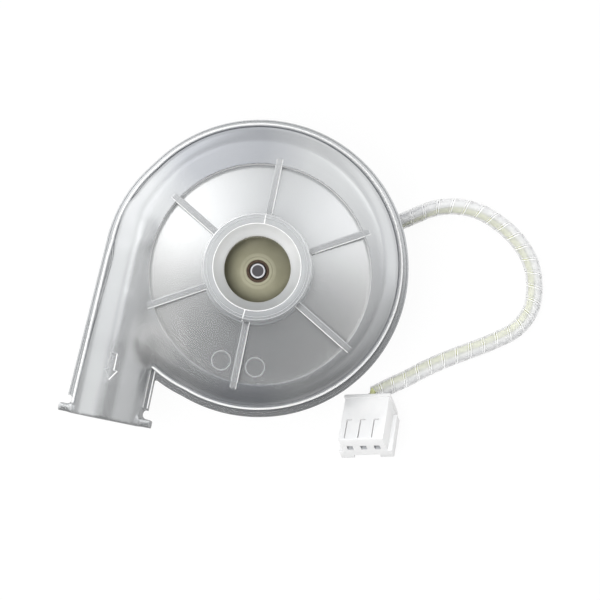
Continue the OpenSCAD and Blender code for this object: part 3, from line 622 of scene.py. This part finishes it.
def levelled(point):
    # the shoulder carried on over the sunk face, without ribs, collar, raised marks and flange
    x, y, z = point
    reach = reachOf(x, y)
    edge = recessRadius
    if reach <= edge and z > faceHeight(x, y) - cover["faceDeep"] or (
            edge < reach < edge + cover["slopeWidth"] + 0.1 and z > slopeHeight(reach) - cover["slopeDeep"]):
        z = crownHeight(x, y)
    elif cover["arrowStart"] - 5.5 < y < cover["arrowStart"] + 0.5 and abs(x - pipeX) < 1.6:
        z = min(z, pipeHeight(x))
    if y < cover["rootBack"] and abs(x - pipeX) < pipeRadius + 3:
        share = ramp(-y, 0.0, cover["pipeFull"])
        packed = pipeHeight(x, cover["rootRadius"] + (pipeRadius - cover["rootRadius"]) * share)
        shown = pipeHeight(x, cover["rootShown"] + (pipeRadius - cover["rootShown"]) * share)
        shown -= cover["rootDrop"] * max(y, 0.0) ** 2
        crown, base = crownHeight(x, y), parting + cover["wallBase"]
        if z > max(packed, crown) - cover["packedDeep"] and z > base:
            if y < 0 or shown > crown:
                z = max(z, shown)
            if min(shown, crown) > base and x > pipeX:
                deep = ramp(min(shown, crown) - parting, cover["wallBase"], cover["valleyReach"])
                deep *= ramp(crest - max(shown, crown))
                z += cover["valleyFill"] * deep * exp(-abs(shown - crown) / cover["valleyReach"])
    lift = ramp(z, *cover["liftZ"]) * (ramp(x, *cover["liftX"]) if y < 0 else 1.0)
    z += tilted(reach) * lift
    return sunkFlange((x, y, z))


def sunkFlange(point):
    # draws the flange in, so that the crisp one covers it
    x, y, z = point
    inPipe = y < 0 and x < pipeX + 8.0
    radius = hypot(x, y)
    out = radius - shellEdge(atan2(y, x))
    beside = abs(x - pipeX) - pipeRadius
    if abs(z - parting) > 1.0 or y < -cover["stripEnd"] - 0.2:
        return x, y, z
    top = parting + (cover["flangeThick"] if z > parting else -cover["flangeThick"])
    if inPipe and beside > 0.05 and (out > 0.05 or x < pipeX):
        x -= copysign(min(beside, cover["sink"]), x - pipeX)
    elif out > 0.05:
        shrink = min(out, cover["sink"]) / radius
        x, y = x - x * shrink, y - y * shrink
    else:
        return x, y, z
    if abs(z - top) < 0.12:
        z += copysign(cover["sink"], parting - z)
    return x, y, z


def rootSoftness(point):
    # how much the meeting of pipe and scroll is eased at a point, 0 to 1
    x, y, z = point
    front = ramp(y, *cover["softFront"])
    root = ramp(reachOf(x, y), *cover["softReach"]) * ramp(-y, *cover["softBack"]) * front
    return ramp(z, *cover["softZ"]) * max(root * ramp(-x, *cover["softSide"]), 0.1 * front)


def applied(piece):
    # the piece's mesh with its modifiers worked in
    shown = piece.evaluated_get(bpy.context.evaluated_depsgraph_get())
    mesh = bpy.data.meshes.new_from_object(shown)
    piece.modifiers.clear()
    piece.data = mesh


def remesh(piece, voxel):
    modifier = piece.modifiers.new("remesh", "REMESH")
    modifier.mode = "VOXEL"
    modifier.voxel_size = voxel * mm
    modifier.use_smooth_shade = True
    applied(piece)


def soften(piece, rounds, group=""):
    modifier = piece.modifiers.new("soft", "SMOOTH")
    modifier.factor = 0.5
    modifier.iterations = rounds
    modifier.vertex_group = group


def moulded(name, node, finish, voxel, rounds, level, ease=None, easeRounds=0):
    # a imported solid's surface made again from small even faces, its edges rounded
    piece = placed(name, nodes[node].data.copy())
    remesh(piece, voxel)
    for vertex in piece.data.vertices:
        vertex.co = Vector(level(vertex.co / mm)) * mm
    remesh(piece, voxel)
    if ease:
        group = piece.vertex_groups.new(name="eased")
        for vertex in piece.data.vertices:
            weight = ease(vertex.co / mm)
            if weight > 0.01:
                group.add([vertex.index], weight, "REPLACE")
        soften(piece, easeRounds, group.name)
    soften(piece, rounds)
    applied(piece)
    piece.vertex_groups.clear()
    piece.data.materials.clear()
    piece.data.materials.append(finish)
    piece.data.polygons.foreach_set("use_smooth", [True] * len(piece.data.polygons))
    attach(piece, "housing")
    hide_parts(node)
    return piece


def combine(piece, shape, operation, degrees=32):
    # takes a closed shape out of a piece, or adds it, and leaves crisp edges
    mesh = shape.mesh("cutter")
    mesh.update()
    cutter = placed("cutter", mesh)
    modifier = piece.modifiers.new("cut", "BOOLEAN")
    modifier.operation = operation
    modifier.solver = "MANIFOLD"
    modifier.object = cutter
    applied(piece)
    bpy.data.objects.remove(cutter)
    bpy.data.meshes.remove(mesh)
    autoSmooth(piece, degrees)


def arcPoints(centre, radius, first, last, count):
    # points of (radius, height) on an arc given in degrees, in millimetres
    turns = [radians(first + (last - first) * k / count) for k in range(count + 1)]
    return [(centre[0] + radius * cos(a), centre[1] + radius * sin(a)) for a in turns]


skin = moulded("coverSkin", "inlet_cover", coverClearPaintedShade, cover["voxel"], 3, levelled, rootSoftness,
    cover["eases"])
edge, turnIn = recessRadius, cover["edgeRound"]
crestAt = crest + tilted(edge)
sunk = [(2.0, cover["faceEdge"] + cover["faceRise"])]
for radius in (9.25, 9.4, 10.6, 11.8, 13.0, 14.2, 15.4, 16.6, 17.6, 18.3, 18.7, 18.84):
    sunk.append((radius, faceHeight(cover["recess"][0] + radius, cover["recess"][1])))
sunk += [(edge - 0.06, cover["faceEdge"] + 0.01), (edge, cover["faceEdge"] + 0.08)]
sunk += arcPoints((edge + turnIn + 0.02, crestAt - turnIn), turnIn, 175, 92, 4)
sunk += [(edge + turnIn + 0.4, crestAt + 0.4), (edge + turnIn + 0.4, 29.0), (2.0, 29.0)]
sunkShape = Shape()
sunkShape.lathe(sunk[::-1], 192, closed=True, centre=cover["recess"])
combine(skin, sunkShape, "DIFFERENCE")
skin.data.materials.append(paintedPaleEdge)
# painted light: the recess wall's faces take the paler edge finish
for polygon in skin.data.polygons:
    middle = polygon.center / mm
    if abs(reachOf(middle.x, middle.y) - edge) < 0.12 and cover["faceEdge"] + 0.1 < middle.z < crestAt - 0.05:
        polygon.material_index = 1
print("cover skin:", len(skin.data.polygons), "faces")
cup = moulded("motorCup", "motor_cover", satinClear, cover["cupVoxel"], 2, sunkFlange)
print("motor cup:", len(cup.data.polygons), "faces")


def collarProfile():
    outer, top, foot = cover["collarRadius"], cover["collarTop"], cover["footRadius"]
    mouth, hole, cut = cover["mouthRadius"], cover["inletRadius"], cover["collarCut"]
    points = [(hole, cover["inletBottom"] + 0.3), (foot, cover["faceEdge"])]
    points += arcPoints((foot - 0.15, cover["footTop"] - 0.15), 0.15, 0, 90, 3)
    points += [(outer + 0.12, cover["footTop"]), (outer + 0.03, cover["footTop"] + 0.08),
        (outer, cover["footTop"] + 0.25), (outer, top - cut), (outer - 0.06, top - cut + 0.12),
        (outer - cut * 0.5, top - cut * 0.5), (outer - cut, top - 0.02)]
    points += arcPoints((mouth + 0.2, top - 0.22), 0.2, 90, 165, 4)
    points += [(mouth - 0.5, top - 1.2), ((mouth + hole) / 2 - 0.1, cover["straightTop"] + 1.1)]
    points += arcPoints((hole + 1.2, cover["straightTop"] - 0.2), 1.2, 150, 180, 4)
    return points


def flangeLine(drawIn):
    # outline of the parting flange from the left strip's end round to the right strip's end
    left = pipeX - pipeRadius - cover["stripWidth"] + drawIn
    right = pipeX + pipeRadius + cover["stripWidth"] - drawIn
    lip = cover["flangeLip"] - drawIn
    end, shell = cover["stripEnd"], cover["shells"][1]
    line = [(left, -end * (1 - k / 10)) for k in range(11)]
    line = [(x + (shell[0] - shell[2] - lip - x) * (1 + y / end), y) for x, y in line]
    low = 180.0
    while True:
        angle = radians(low)
        spot = (shellEdge(angle) + lip) * cos(angle), (shellEdge(angle) + lip) * sin(angle)
        if low < -60 and spot[0] < right:
            break
        line.append(spot)
        low -= 2.0
    foot = line[-1][1]
    line += [(right, foot - (end + foot) * k / 5) for k in range(6)]
    return line[:10] + line[11:]


def bandAlong(name, line, inner, low, high, bevel):
    # a flat band whose outer edge follows the line, both of its outer corners eased
    path = [Vector(point) for point in line]
    rows = []
    for k, here in enumerate(path):
        ahead = (path[min(k + 1, len(path) - 1)] - path[max(k - 1, 0)]).normalized()
        inward = Vector((ahead.y, -ahead.x))
        section = [(inner, low), (bevel, low), (bevel * 0.3, low + bevel * 0.3), (0.0, low + bevel),
            (0.0, high - bevel), (bevel * 0.3, high - bevel * 0.3), (bevel, high), (inner, high)]
        rows.append([Vector((here.x + inward.x * depth, here.y + inward.y * depth, z)) * mm
            for depth, z in section])
    shape = Shape()
    shape.bar(rows)
    band = shape.piece(name, [satinClear])
    autoSmooth(band, 40)
    return band


upperFlange = bandAlong("upperFlange", flangeLine(cover["upperIn"]), 1.2, parting + 0.01,
    parting + cover["flangeThick"], cover["flangeBevel"])
lowerFlange = bandAlong("lowerFlange", flangeLine(0.0), 1.5, parting - cover["flangeThick"],
    parting - 0.01, cover["flangeBevel"])

collarShape = Shape()
collarShape.lathe(collarProfile(), 128, closed=True)
collar = collarShape.piece("inletCollar", [collarClear, mouthClear])
autoSmooth(collar, 30)
for face in collar.data.polygons:
    far = hypot(face.center.x, face.center.y) / mm
    if far < cover["mouthRadius"] - 0.05 and face.center.z / mm > cover["straightTop"] - 0.3:
        face.material_index = 1

ribShape = Shape()


def addRib(angle):
    # a bar with bevelled top edges, from the collar out over the edge of the face
    turn = spun(angle)
    half, top, bevel = cover["ribWidth"] / 2, cover["ribTop"], cover["ribBevel"]
    along = turn @ Vector((1, 0, 0))
    centre = Vector((*cover["recess"], 0))
    middle = along.dot(centre)
    limit = recessRadius + cover["ribReach"]
    reach = middle + sqrt(middle * middle - centre.length_squared + limit * limit)
    section = [(-half, -1.0), (-half, -bevel), (-half + bevel * 0.35, -bevel * 0.35), (-half + bevel, 0.0),
        (half - bevel, 0.0), (half - bevel * 0.35, -bevel * 0.35), (half, -bevel), (half, -1.0)]
    rows = []
    for place, drop in [(cover["collarRadius"] - 0.2, 0.0), (reach - bevel, 0.0),
            (reach - bevel * 0.35, bevel * 0.35), (reach, bevel)]:
        row = []
        for across, down in section:
            across *= 1.0 - (drop / half if abs(across) > 0 else 0.0)
            high = top + min(down, -drop)
            if down == -1.0:
                here = turn @ Vector((place, across, 0))
                high = faceHeight(here.x, here.y) - 0.08
            row.append((turn @ Vector((place, across, high))) * mm)
        rows.append(row)
    # painted highlight: the top bevel on the side that faces +x and -y, and the outer end, take the bright
    # finish
    lit = (turn @ Vector((0, 1, 0))).dot(Vector((0.35, -1, 0))) > 0
    for j, slot in enumerate([0, 0, 0, 0, 1, 1, 0] if lit else [0, 1, 1, 0, 0, 0, 0]):
        ribShape.grid([[row[j], row[j + 1]] for row in rows], slot=slot)
    ribShape.cap(rows[-1], slot=1)
    ribShape.cap(rows[0][::-1], slot=0)
    ribShape.grid([[row[-1], row[0]] for row in rows], slot=0)


for number in range(cover["ribCount"]):
    addRib(30 + 360 * number / cover["ribCount"])
ribs = ribShape.piece("faceRibs", [satinClear, paintedHighlightEdge], smooth=False)

markShape = Shape()


def addLine(points, radius, sides=8, closed=True, slot=0):
    # a thin raised line along points that lie on the surface
    rows = []
    count = len(points)
    for k in range(count):
        before, after = points[(k - 1) % count], points[(k + 1) % count]
        if not closed:
            before, after = points[max(k - 1, 0)], points[min(k + 1, count - 1)]
        ahead = (after - before).normalized()
        side = ahead.cross(Vector((0, 0, 1))).normalized()
        up = side.cross(ahead)
        rows.append(circle(points[k], side, up, radius, sides))
    if closed:
        markShape.grid(rows, closeRow=True, closeColumn=True, slot=slot)
    else:
        markShape.bar(rows, slot)


def arrowPoint(x, y):
    x += pipeX
    return Vector((x, y + cover["arrowStart"], pipeHeight(x) + 0.02)) * mm


arrow = [(0.5, 0.0), (0.5, -2.9), (1.1, -2.9), (0.0, -4.6), (-1.1, -2.9), (-0.5, -2.9), (-0.5, 0.0)]
for k, (a, b) in enumerate(zip(arrow, arrow[1:] + arrow[:1])):
    steps = max(2, int(dist(a, b) / 0.15))
    addLine([arrowPoint(a[0] + (b[0] - a[0]) * t / steps, a[1] + (b[1] - a[1]) * t / steps)
        for t in range(steps + 1)], 0.12 * mm, closed=False, slot=0 if k in (0, 2) else 1)


def addRing(centre, radius, height, thick, slot):
    # a thin raised circle; height is a number or a function of the place
    ring = []
    for k in range(96):
        angle = 2 * pi * k / 96
        x, y = centre[0] + radius * cos(angle), centre[1] + radius * sin(angle)
        ring.append(Vector((x, y, height(x, y) if callable(height) else height)) * mm)
    addLine(ring, thick * mm, slot=slot)


for side in (-1, 1):
    addRing((side * cover["dateAt"][0], cover["dateAt"][1]), cover["dateRadius"],
        lambda x, y: faceHeight(x, y) + 0.03, 0.1, 1)
rim = cover["collarRadius"] - cover["collarCut"]
for reach, drop, thick, slot in ((rim - 0.02, 0.05, 0.09, 1), (rim - 0.5, 0.03, 0.06, 1),
        (cover["mouthRadius"] + 0.06, 0.04, 0.085, 0)):
    addRing((0, 0), reach, cover["collarTop"] - drop, thick, slot)
for seam in cover["seams"]:
    angle = radians(seam)
    addLine([Vector((reach * cos(angle), reach * sin(angle), z)) * mm
        for reach, z in ((7.5, 25.56), (rim, 25.58), (9.2, 24.82), (9.4, 24.5))], 0.11 * mm, closed=False)

flangeTop = parting + cover["flangeThick"]


def rimPoints(drawIn, lift):
    # points along the flange's outline, over the flange or on the shell above it
    spots = []
    outline = flangeLine(drawIn)
    for x, y in [(outline[0][0], cover["beadEnd"] if lift is None else cover["lineEnd"])] + outline[1:-7]:
        z = crownHeight(x, y)
        if y < 0 and abs(x - pipeX) < pipeRadius:
            z = max(z, pipeHeight(x))
        spots.append(Vector((x, y, z if lift is None else flangeTop + lift)) * mm)
    return spots


for drawIn, lift, thick, slot in rimLines:
    addLine(rimPoints(drawIn, lift), thick * mm, closed=False, slot=slot)
stripEdge = pipeX + pipeRadius + cover["stripWidth"]
for inward, thick, slot in stripLines:
    z = flangeTop + 0.02 if inward < cover["stripWidth"] else pipeHeight(stripEdge - inward) + 0.05
    addLine([Vector((stripEdge - inward, y, z)) * mm for y in cover["stripAlong"]], thick * mm,
        closed=False, slot=slot)
markShape.lathe(cover["bossForm"], 20, closed=True, centre=cover["boss"])
marks = markShape.piece("raisedMarks", [paintedHighlightEdge, paintedPaleEdge, paintedShadeLine])
for piece in (collar, ribs, marks, upperFlange):
    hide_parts("inlet_cover")
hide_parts("motor_cover")
print("cover made")


# plug: crimp housing with a lip, rear wings, latch windows and contact holes
plugForm = {"width": 8.2, "length": 9.8, "thick": 5.6, "wingWidth": 9.8, "wingThick": 2.0, "wingBack": 2.0,
    "lipSide": 0.2, "lipFront": 0.25, "lipLength": 0.7, "pitch": 2.5, "hole": 0.55, "holeDeep": 1.6,
    "cavity": 0.95, "cavityDeep": 3.0, "line": 0.2, "lineDeep": 0.5, "windowTop": 4.4,
    "windowHalf": 0.6, "windowStart": 0.35, "holeUp": 0.25, "hollowHalf": 2.4, "hollowLength": 3.0,
    "hollowDeep": 0.8, "bevel": 0.12}


def boxes(*corners):
    # plain boxes in the plug's own frame, wire end on y = 0, mating end toward -Y
    shape = Shape()
    for low, high in corners:
        start = len(shape.verts)
        shape.verts += [Vector((x, y, z)) * mm for z in (low[2], high[2])
            for y in (low[1], high[1]) for x in (low[0], high[0])]
        for face in ((0, 2, 3, 1), (4, 5, 7, 6), (0, 1, 5, 4), (2, 6, 7, 3), (0, 4, 6, 2), (1, 3, 7, 5)):
            shape.faces.append(tuple(start + k for k in face))
            shape.slots.append(0)
    return shape


wide, long, front = plugForm["width"] / 2, plugForm["length"], plugForm["thick"] / 2
wing, lip = plugForm["wingWidth"] / 2, plugForm["lipSide"]
plugBody = boxes(((-wide, -long, -front), (wide, 0, front))).piece("plugBody", [plugWhite])
for low, high in (((-wing, -long, -front), (wing, -plugForm["wingBack"], plugForm["wingThick"] - front)),
        ((-wide - lip, -plugForm["lipLength"], -front), (wide + lip, 0, front + plugForm["lipFront"]))):
    combine(plugBody, boxes((low, high)), "UNION")
holes = [((-plugForm["hollowHalf"], -long - 0.1, -front - 0.1),
    (plugForm["hollowHalf"], plugForm["hollowLength"] - long, plugForm["hollowDeep"] - front))]
hole, room, line, half = (plugForm[name] for name in ("hole", "cavity", "line", "windowHalf"))
top, floorOf, up = plugForm["windowTop"] - long, front - plugForm["lineDeep"], plugForm["holeUp"]
contactsAt = [number * plugForm["pitch"] for number in (-1, 0, 1)]
for middle in contactsAt:
    left = middle - half
    holes += [
        ((middle - hole, -long - 0.1, up - hole), (middle + hole, plugForm["holeDeep"] - long, up + hole)),
        ((middle - room, -plugForm["cavityDeep"], -room), (middle + room, 0.1, room)),
        ((left, plugForm["windowStart"] - long, floorOf), (left + line, top, front + 0.1)),
        ((left + line + 0.01, top - line, floorOf), (middle + half * 0.6, top, front + 0.1))]
bevel = plugBody.modifiers.new("bevel", "BEVEL")
bevel.width = plugForm["bevel"] * mm
bevel.segments = 2
bevel.limit_method = "ANGLE"
applied(plugBody)
combine(plugBody, boxes(*holes), "DIFFERENCE", 40)
for finish in (plugShade, plugHoleShade):
    plugBody.data.materials.append(finish)
# painted shade: side and mating faces take the darker copy, the contact holes the dark one
for polygon in plugBody.data.polygons:
    middle, facing = polygon.center / mm, polygon.normal
    inHole = any(abs(middle.x - at) < hole + 0.01 for at in contactsAt) and abs(middle.z - up) < hole + 0.01
    if inHole and 0.02 - long < middle.y < plugForm["holeDeep"] + 0.02 - long:
        polygon.material_index = 2
    elif abs(facing.x) > 0.9 or facing.y < -0.9:
        polygon.material_index = 1
plugBody.data.transform(atPlug)
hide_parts("plug_housing")
print("plug made")


# impeller: one turned hub and back plate with thin curved blades
impeller = {"back": 15.4, "plate": 0.8, "radius": 16.8, "bore": 1.97, "nose": 2.6, "noseTop": 19.0,
    "bladeTop": 19.0, "bladeIn": 6.0, "bladeOut": 16.6, "bladeArc": 12.0,
    "bladeCentre": (0.72, -10.63), "bladeCount": 12, "bladeThick": 0.62, "bladeTaper": 0.14,
    "bladeRows": 20, "hub": ((6.15, 1.5), (5.3, 2.15), (4.1, 2.85), (3.1, 3.4))}


def hubProfile():
    back, plate, radius = impeller["back"], impeller["plate"], impeller["radius"]
    points = [(impeller["bore"], back)]
    points += arcPoints((radius - 0.2, back + 0.2), 0.2, -90, 0, 3)
    points += arcPoints((radius - 0.2, back + plate - 0.2), 0.2, 0, 90, 3)
    points += arcPoints((7.3, back + plate + 1.2), 1.2, -90, -155, 6)
    hub = [Vector((reach, back + up, 0)) for reach, up in impeller["hub"]]
    points += [(p.x, p.y) for p in curved(hub, 6)]
    points += arcPoints((impeller["nose"] - 0.25, impeller["noseTop"] - 0.25), 0.25, 30, 90, 4)
    points += arcPoints((impeller["bore"] + 0.12, impeller["noseTop"] - 0.12), 0.12, 90, 180, 3)
    return points


impellerShape = Shape()
impellerShape.lathe(hubProfile(), 128, closed=True)


def addBlade(turn):
    # curved wall with rounded top edge, thinner toward its tip
    low, high = impeller["back"] + impeller["plate"] - 0.1, impeller["bladeTop"]
    centre = Vector(impeller["bladeCentre"])
    spots = []
    for k in range(721):
        angle = 2 * pi * k / 720
        here = centre + impeller["bladeArc"] * Vector((cos(angle), sin(angle)))
        if here.x > 0 and impeller["bladeIn"] <= here.length <= impeller["bladeOut"] and here.y > centre.y:
            spots.append((here.length, here, (here - centre).normalized()))
    spots = sorted(spots, key=lambda spot: spot[0])
    last = impeller["bladeRows"]
    spots = [spots[round(i * (len(spots) - 1) / last)] for i in range(last + 1)]
    rows = []
    for i, (reach, here, out) in enumerate(spots):
        thick = (impeller["bladeThick"] - impeller["bladeTaper"] * i / last) / 2
        thick *= 0.55 if i in (0, last) else 1.0
        section = [(thick, low), (thick, high - 0.16), (thick - 0.08, high - 0.03), (0.0, high),
            (0.08 - thick, high - 0.03), (-thick, high - 0.16), (-thick, low)]
        rows.append([turn @ Vector((here.x + out.x * off, here.y + out.y * off, z)) * mm
            for off, z in section])
    impellerShape.bar(rows)


for number in range(impeller["bladeCount"]):
    addBlade(Matrix.Rotation(2 * pi * number / impeller["bladeCount"], 3, "Z"))
wheel = impellerShape.piece("impellerWheel", [khakiNylon], "rotor")
autoSmooth(wheel, 40)
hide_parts("impeller")
print("impeller made")


# windings: each coil is laid in even turns round its tooth
coil = {"count": 6, "inner": 6.0, "outer": 10.2, "toothWidth": 2.4, "thick": 1.1, "low": 5.3, "high": 11.1,
    "end": 0.55, "turns": 11, "ripple": 0.13}


def coilLoop(grow):
    # rounded rectangle round the tooth, grown outward
    half = coil["toothWidth"] / 2 + grow
    corner = 0.3 + grow * 0.7
    endRise = grow * coil["end"] / coil["thick"]
    low, high = coil["low"] - endRise, coil["high"] + endRise
    loop = []
    for cx, cz, first in ((half - corner, high - corner, 0), (corner - half, high - corner, 90),
            (corner - half, low + corner, 180), (half - corner, low + corner, 270)):
        loop += arcPoints((cx, cz), corner, first, first + 90, 6)
    return loop


coilShape = Shape()
for number in range(coil["count"]):
    turn = spun(30 + 360 * number / coil["count"])
    rows = [[turn @ Vector((coil["inner"], x, z)) * mm for x, z in coilLoop(0.0)]]
    steps = coil["turns"] * 6
    for k in range(steps + 1):
        share = k / steps
        wave = abs(sin(pi * coil["turns"] * share))
        grow = coil["thick"] - coil["ripple"] - 0.25 * (2 * share - 1) ** 4 + coil["ripple"] * wave
        reach = coil["inner"] + (coil["outer"] - coil["inner"]) * share
        rows.append([turn @ Vector((reach, x, z)) * mm for x, z in coilLoop(grow)])
    rows.append([turn @ Vector((coil["outer"], x, z)) * mm for x, z in coilLoop(0.0)])
    coilShape.grid(rows, closeRow=True, closeColumn=True)
coils = coilShape.piece("copperCoils", [copperWire])
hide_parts("windings")


# board parts on the underside, and the three leads from the board to the grommet
board = {"under": 3.6, "leadAngle": 34.0, "leadStart": 9.6, "leadEnd": 13.9, "spread": 1.0, "leadZ": 3.6,
    "leadRadius": 0.4, "chip": (-8.3, 1.0), "chipTurn": 12,
    "parts": ((75, 9.2), (100, 9.6), (128, 8.6), (215, 8.8), (238, 9.4), (262, 8.7), (300, 9.3))}


def addBlock(shape, centre, size, turn=0.0, bevel=0.06, slot=0):
    # block with bevelled long edges
    spin = spun(turn)
    half = [v / 2 for v in size]
    rows = []
    for z, inset in ((-half[2], bevel), (bevel - half[2], 0.0), (half[2] - bevel, 0.0), (half[2], bevel)):
        x, y = half[0] - inset, half[1] - inset
        corners = [(x - bevel, -y), (x, bevel - y), (x, y - bevel), (x - bevel, y),
            (bevel - x, y), (-x, y - bevel), (-x, bevel - y), (bevel - x, -y)]
        rows.append([(Vector(centre) + spin @ Vector((cx, cy, z))) * mm for cx, cy in corners])
    shape.bar(rows, slot)


boardShape = Shape()
chipX, chipY = board["chip"]
addBlock(boardShape, (chipX, chipY, board["under"] - 0.45), (3.0, 3.0, 0.9), board["chipTurn"])
for side in (-1, 1):
    for k in range(4):
        addBlock(boardShape, (chipX + side * 1.62, chipY - 0.98 + 0.65 * k, board["under"] - 0.1),
            (0.4, 0.3, 0.16), board["chipTurn"], 0.02, slot=1)
for angle, reach in board["parts"]:
    turn = spun(angle)
    spot = turn @ Vector((reach, 0, board["under"] - 0.22))
    addBlock(boardShape, spot, (1.0, 0.5, 0.45), angle, 0.04, slot=2)
    for end in (-0.42, 0.42):
        addBlock(boardShape, spot + turn @ Vector((end, 0, 0)), (0.24, 0.54, 0.47), angle, 0.03, slot=1)
boardParts = boardShape.piece("boardParts", [blackResin, tinPlate, creamNylon], smooth=False)

leadsShape = Shape()
outward = spun(board["leadAngle"])
for number in range(3):
    shift = (number - 1) * board["spread"]
    line = [outward @ Vector((board["leadStart"] + reach, shift, board["leadZ"])) * mm
        for reach in (0.0, 0.7, 1.4, 2.1, 2.8, 3.5, board["leadEnd"] - board["leadStart"])]
    leadLine = Route(line)
    leadsShape.tube(line, [leadLine.at(d)[1:] for d in leadLine.reach], board["leadRadius"] * mm, 14,
        slot=number)
boardLeads = leadsShape.piece("boardLeads", [whiteWire, yellowWire, greyWire])
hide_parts("motor_leads")
print("motor parts made")


# stage: white floor that keeps the shadow, a large soft lamp above the outlet side and a pale world;
# the spans are parts of the sky's direction, a panel is its place, radius, softness and power
stage = {"floorSize": 3.0, "floorFront": (-0.04, 0.04), "frontFloor": 0.3, "shadowShare": 0.06,
    "lampPlace": (-42.0, -66.0, 235.0), "lampAim": (0.0, 0.0, 18.0), "lampSize": 160.0,
    "lampPower": 0.52, "worldStrength": 1.0, "low": 0.12, "zenith": 0.06, "high": 0.8, "sides": (0.85, 0.5),
    "frontSpan": (-0.5, 0.02), "backSpan": (0.02, 0.22), "sideSpan": (0.06, 0.3),
    "acrossSpan": (-0.2, 0.2), "sideFade": (-0.6, -0.1),
    "panels": [(-0.24, 0.22, 0.13, 0.06, 2.5), (0.15, 0.29, 0.11, 0.05, 2.3)]}


def whiteFloor():
    made = bpy.data.materials.new("whiteFloor")
    made.use_nodes = True
    tree = made.node_tree
    tree.nodes.clear()
    seen = rayIs(tree, "Camera", "Glossy", "Transmission")
    matte = seen.add("ShaderNodeBsdfDiffuse", {}, {"Color": rgb(250, 250, 250)})
    place = Sig(tree, tree.nodes.new("ShaderNodeTexCoord").outputs["Object"])
    front = place.part("Y").span(*stage["floorFront"], 1.0 - stage["frontFloor"], 0.0)
    glow = seen.add("ShaderNodeEmission", {}, {"Color": (1.0 - rayIs(tree, "Glossy") * front).grey()})
    mixed = seen.add("ShaderNodeMixShader", {}, {0: seen * (1 - stage["shadowShare"]), 1: matte, 2: glow})
    out = tree.nodes.new("ShaderNodeOutputMaterial")
    tree.links.new(mixed.socket, out.inputs["Surface"])
    return made


reach = stage["floorSize"] / 2
floorShape = Shape()
floorShape.cap([(-reach, -reach, 0), (reach, -reach, 0), (reach, reach, 0), (-reach, reach, 0)])
floorMesh = floorShape.mesh("floor")
floorMesh.materials.append(whiteFloor())
floor = placed("floor", floorMesh)

lamp = placed("softLamp", bpy.data.lights.new("softLamp", "AREA"))
lamp.data.shape = "DISK"
lamp.data.size = stage["lampSize"] * mm
lamp.data.energy = stage["lampPower"]
lamp.location = Vector(stage["lampPlace"]) * mm
lamp.rotation_mode = "QUATERNION"
lamp.rotation_quaternion = (Vector(stage["lampAim"]) - Vector(stage["lampPlace"])).to_track_quat("-Z", "Y")
lamp.visible_glossy = False
lamp.visible_transmission = False

# world: two bright panels overhead, pale sides, darker toward the front; white where seen directly
world = bpy.data.worlds.new("paleRoom")
bpy.context.scene.world = world
world.use_nodes = True
room = world.node_tree
sky = Sig(room, room.nodes.new("ShaderNodeTexCoord").outputs["Generated"])
east, north = sky.part("X"), sky.part("Y")
glow = north.span(*stage["frontSpan"], stage["low"], stage["zenith"])
glow = glow + north.span(*stage["backSpan"], 0.0, stage["high"] - stage["zenith"])
across = east.span(*stage["acrossSpan"], *stage["sides"])
glow = glow + (east * east).span(*stage["sideSpan"]) * across * north.span(*stage["sideFade"])
for panelEast, panelNorth, radius, soft, power in stage["panels"]:
    away = apart(east - panelEast, north - panelNorth)
    glow = glow + away.span(radius - soft, radius + soft, 1.0, 0.0) * (power - glow)
glow = glow + rayIs(room, "Camera", "Transmission") * (1.0 - glow)
room.links.new(glow.grey().socket, room.nodes["Background"].inputs["Color"])
room.nodes["Background"].inputs["Strength"].default_value = stage["worldStrength"]

bpy.context.scene.view_settings.view_transform = "Standard"
print("stage set")
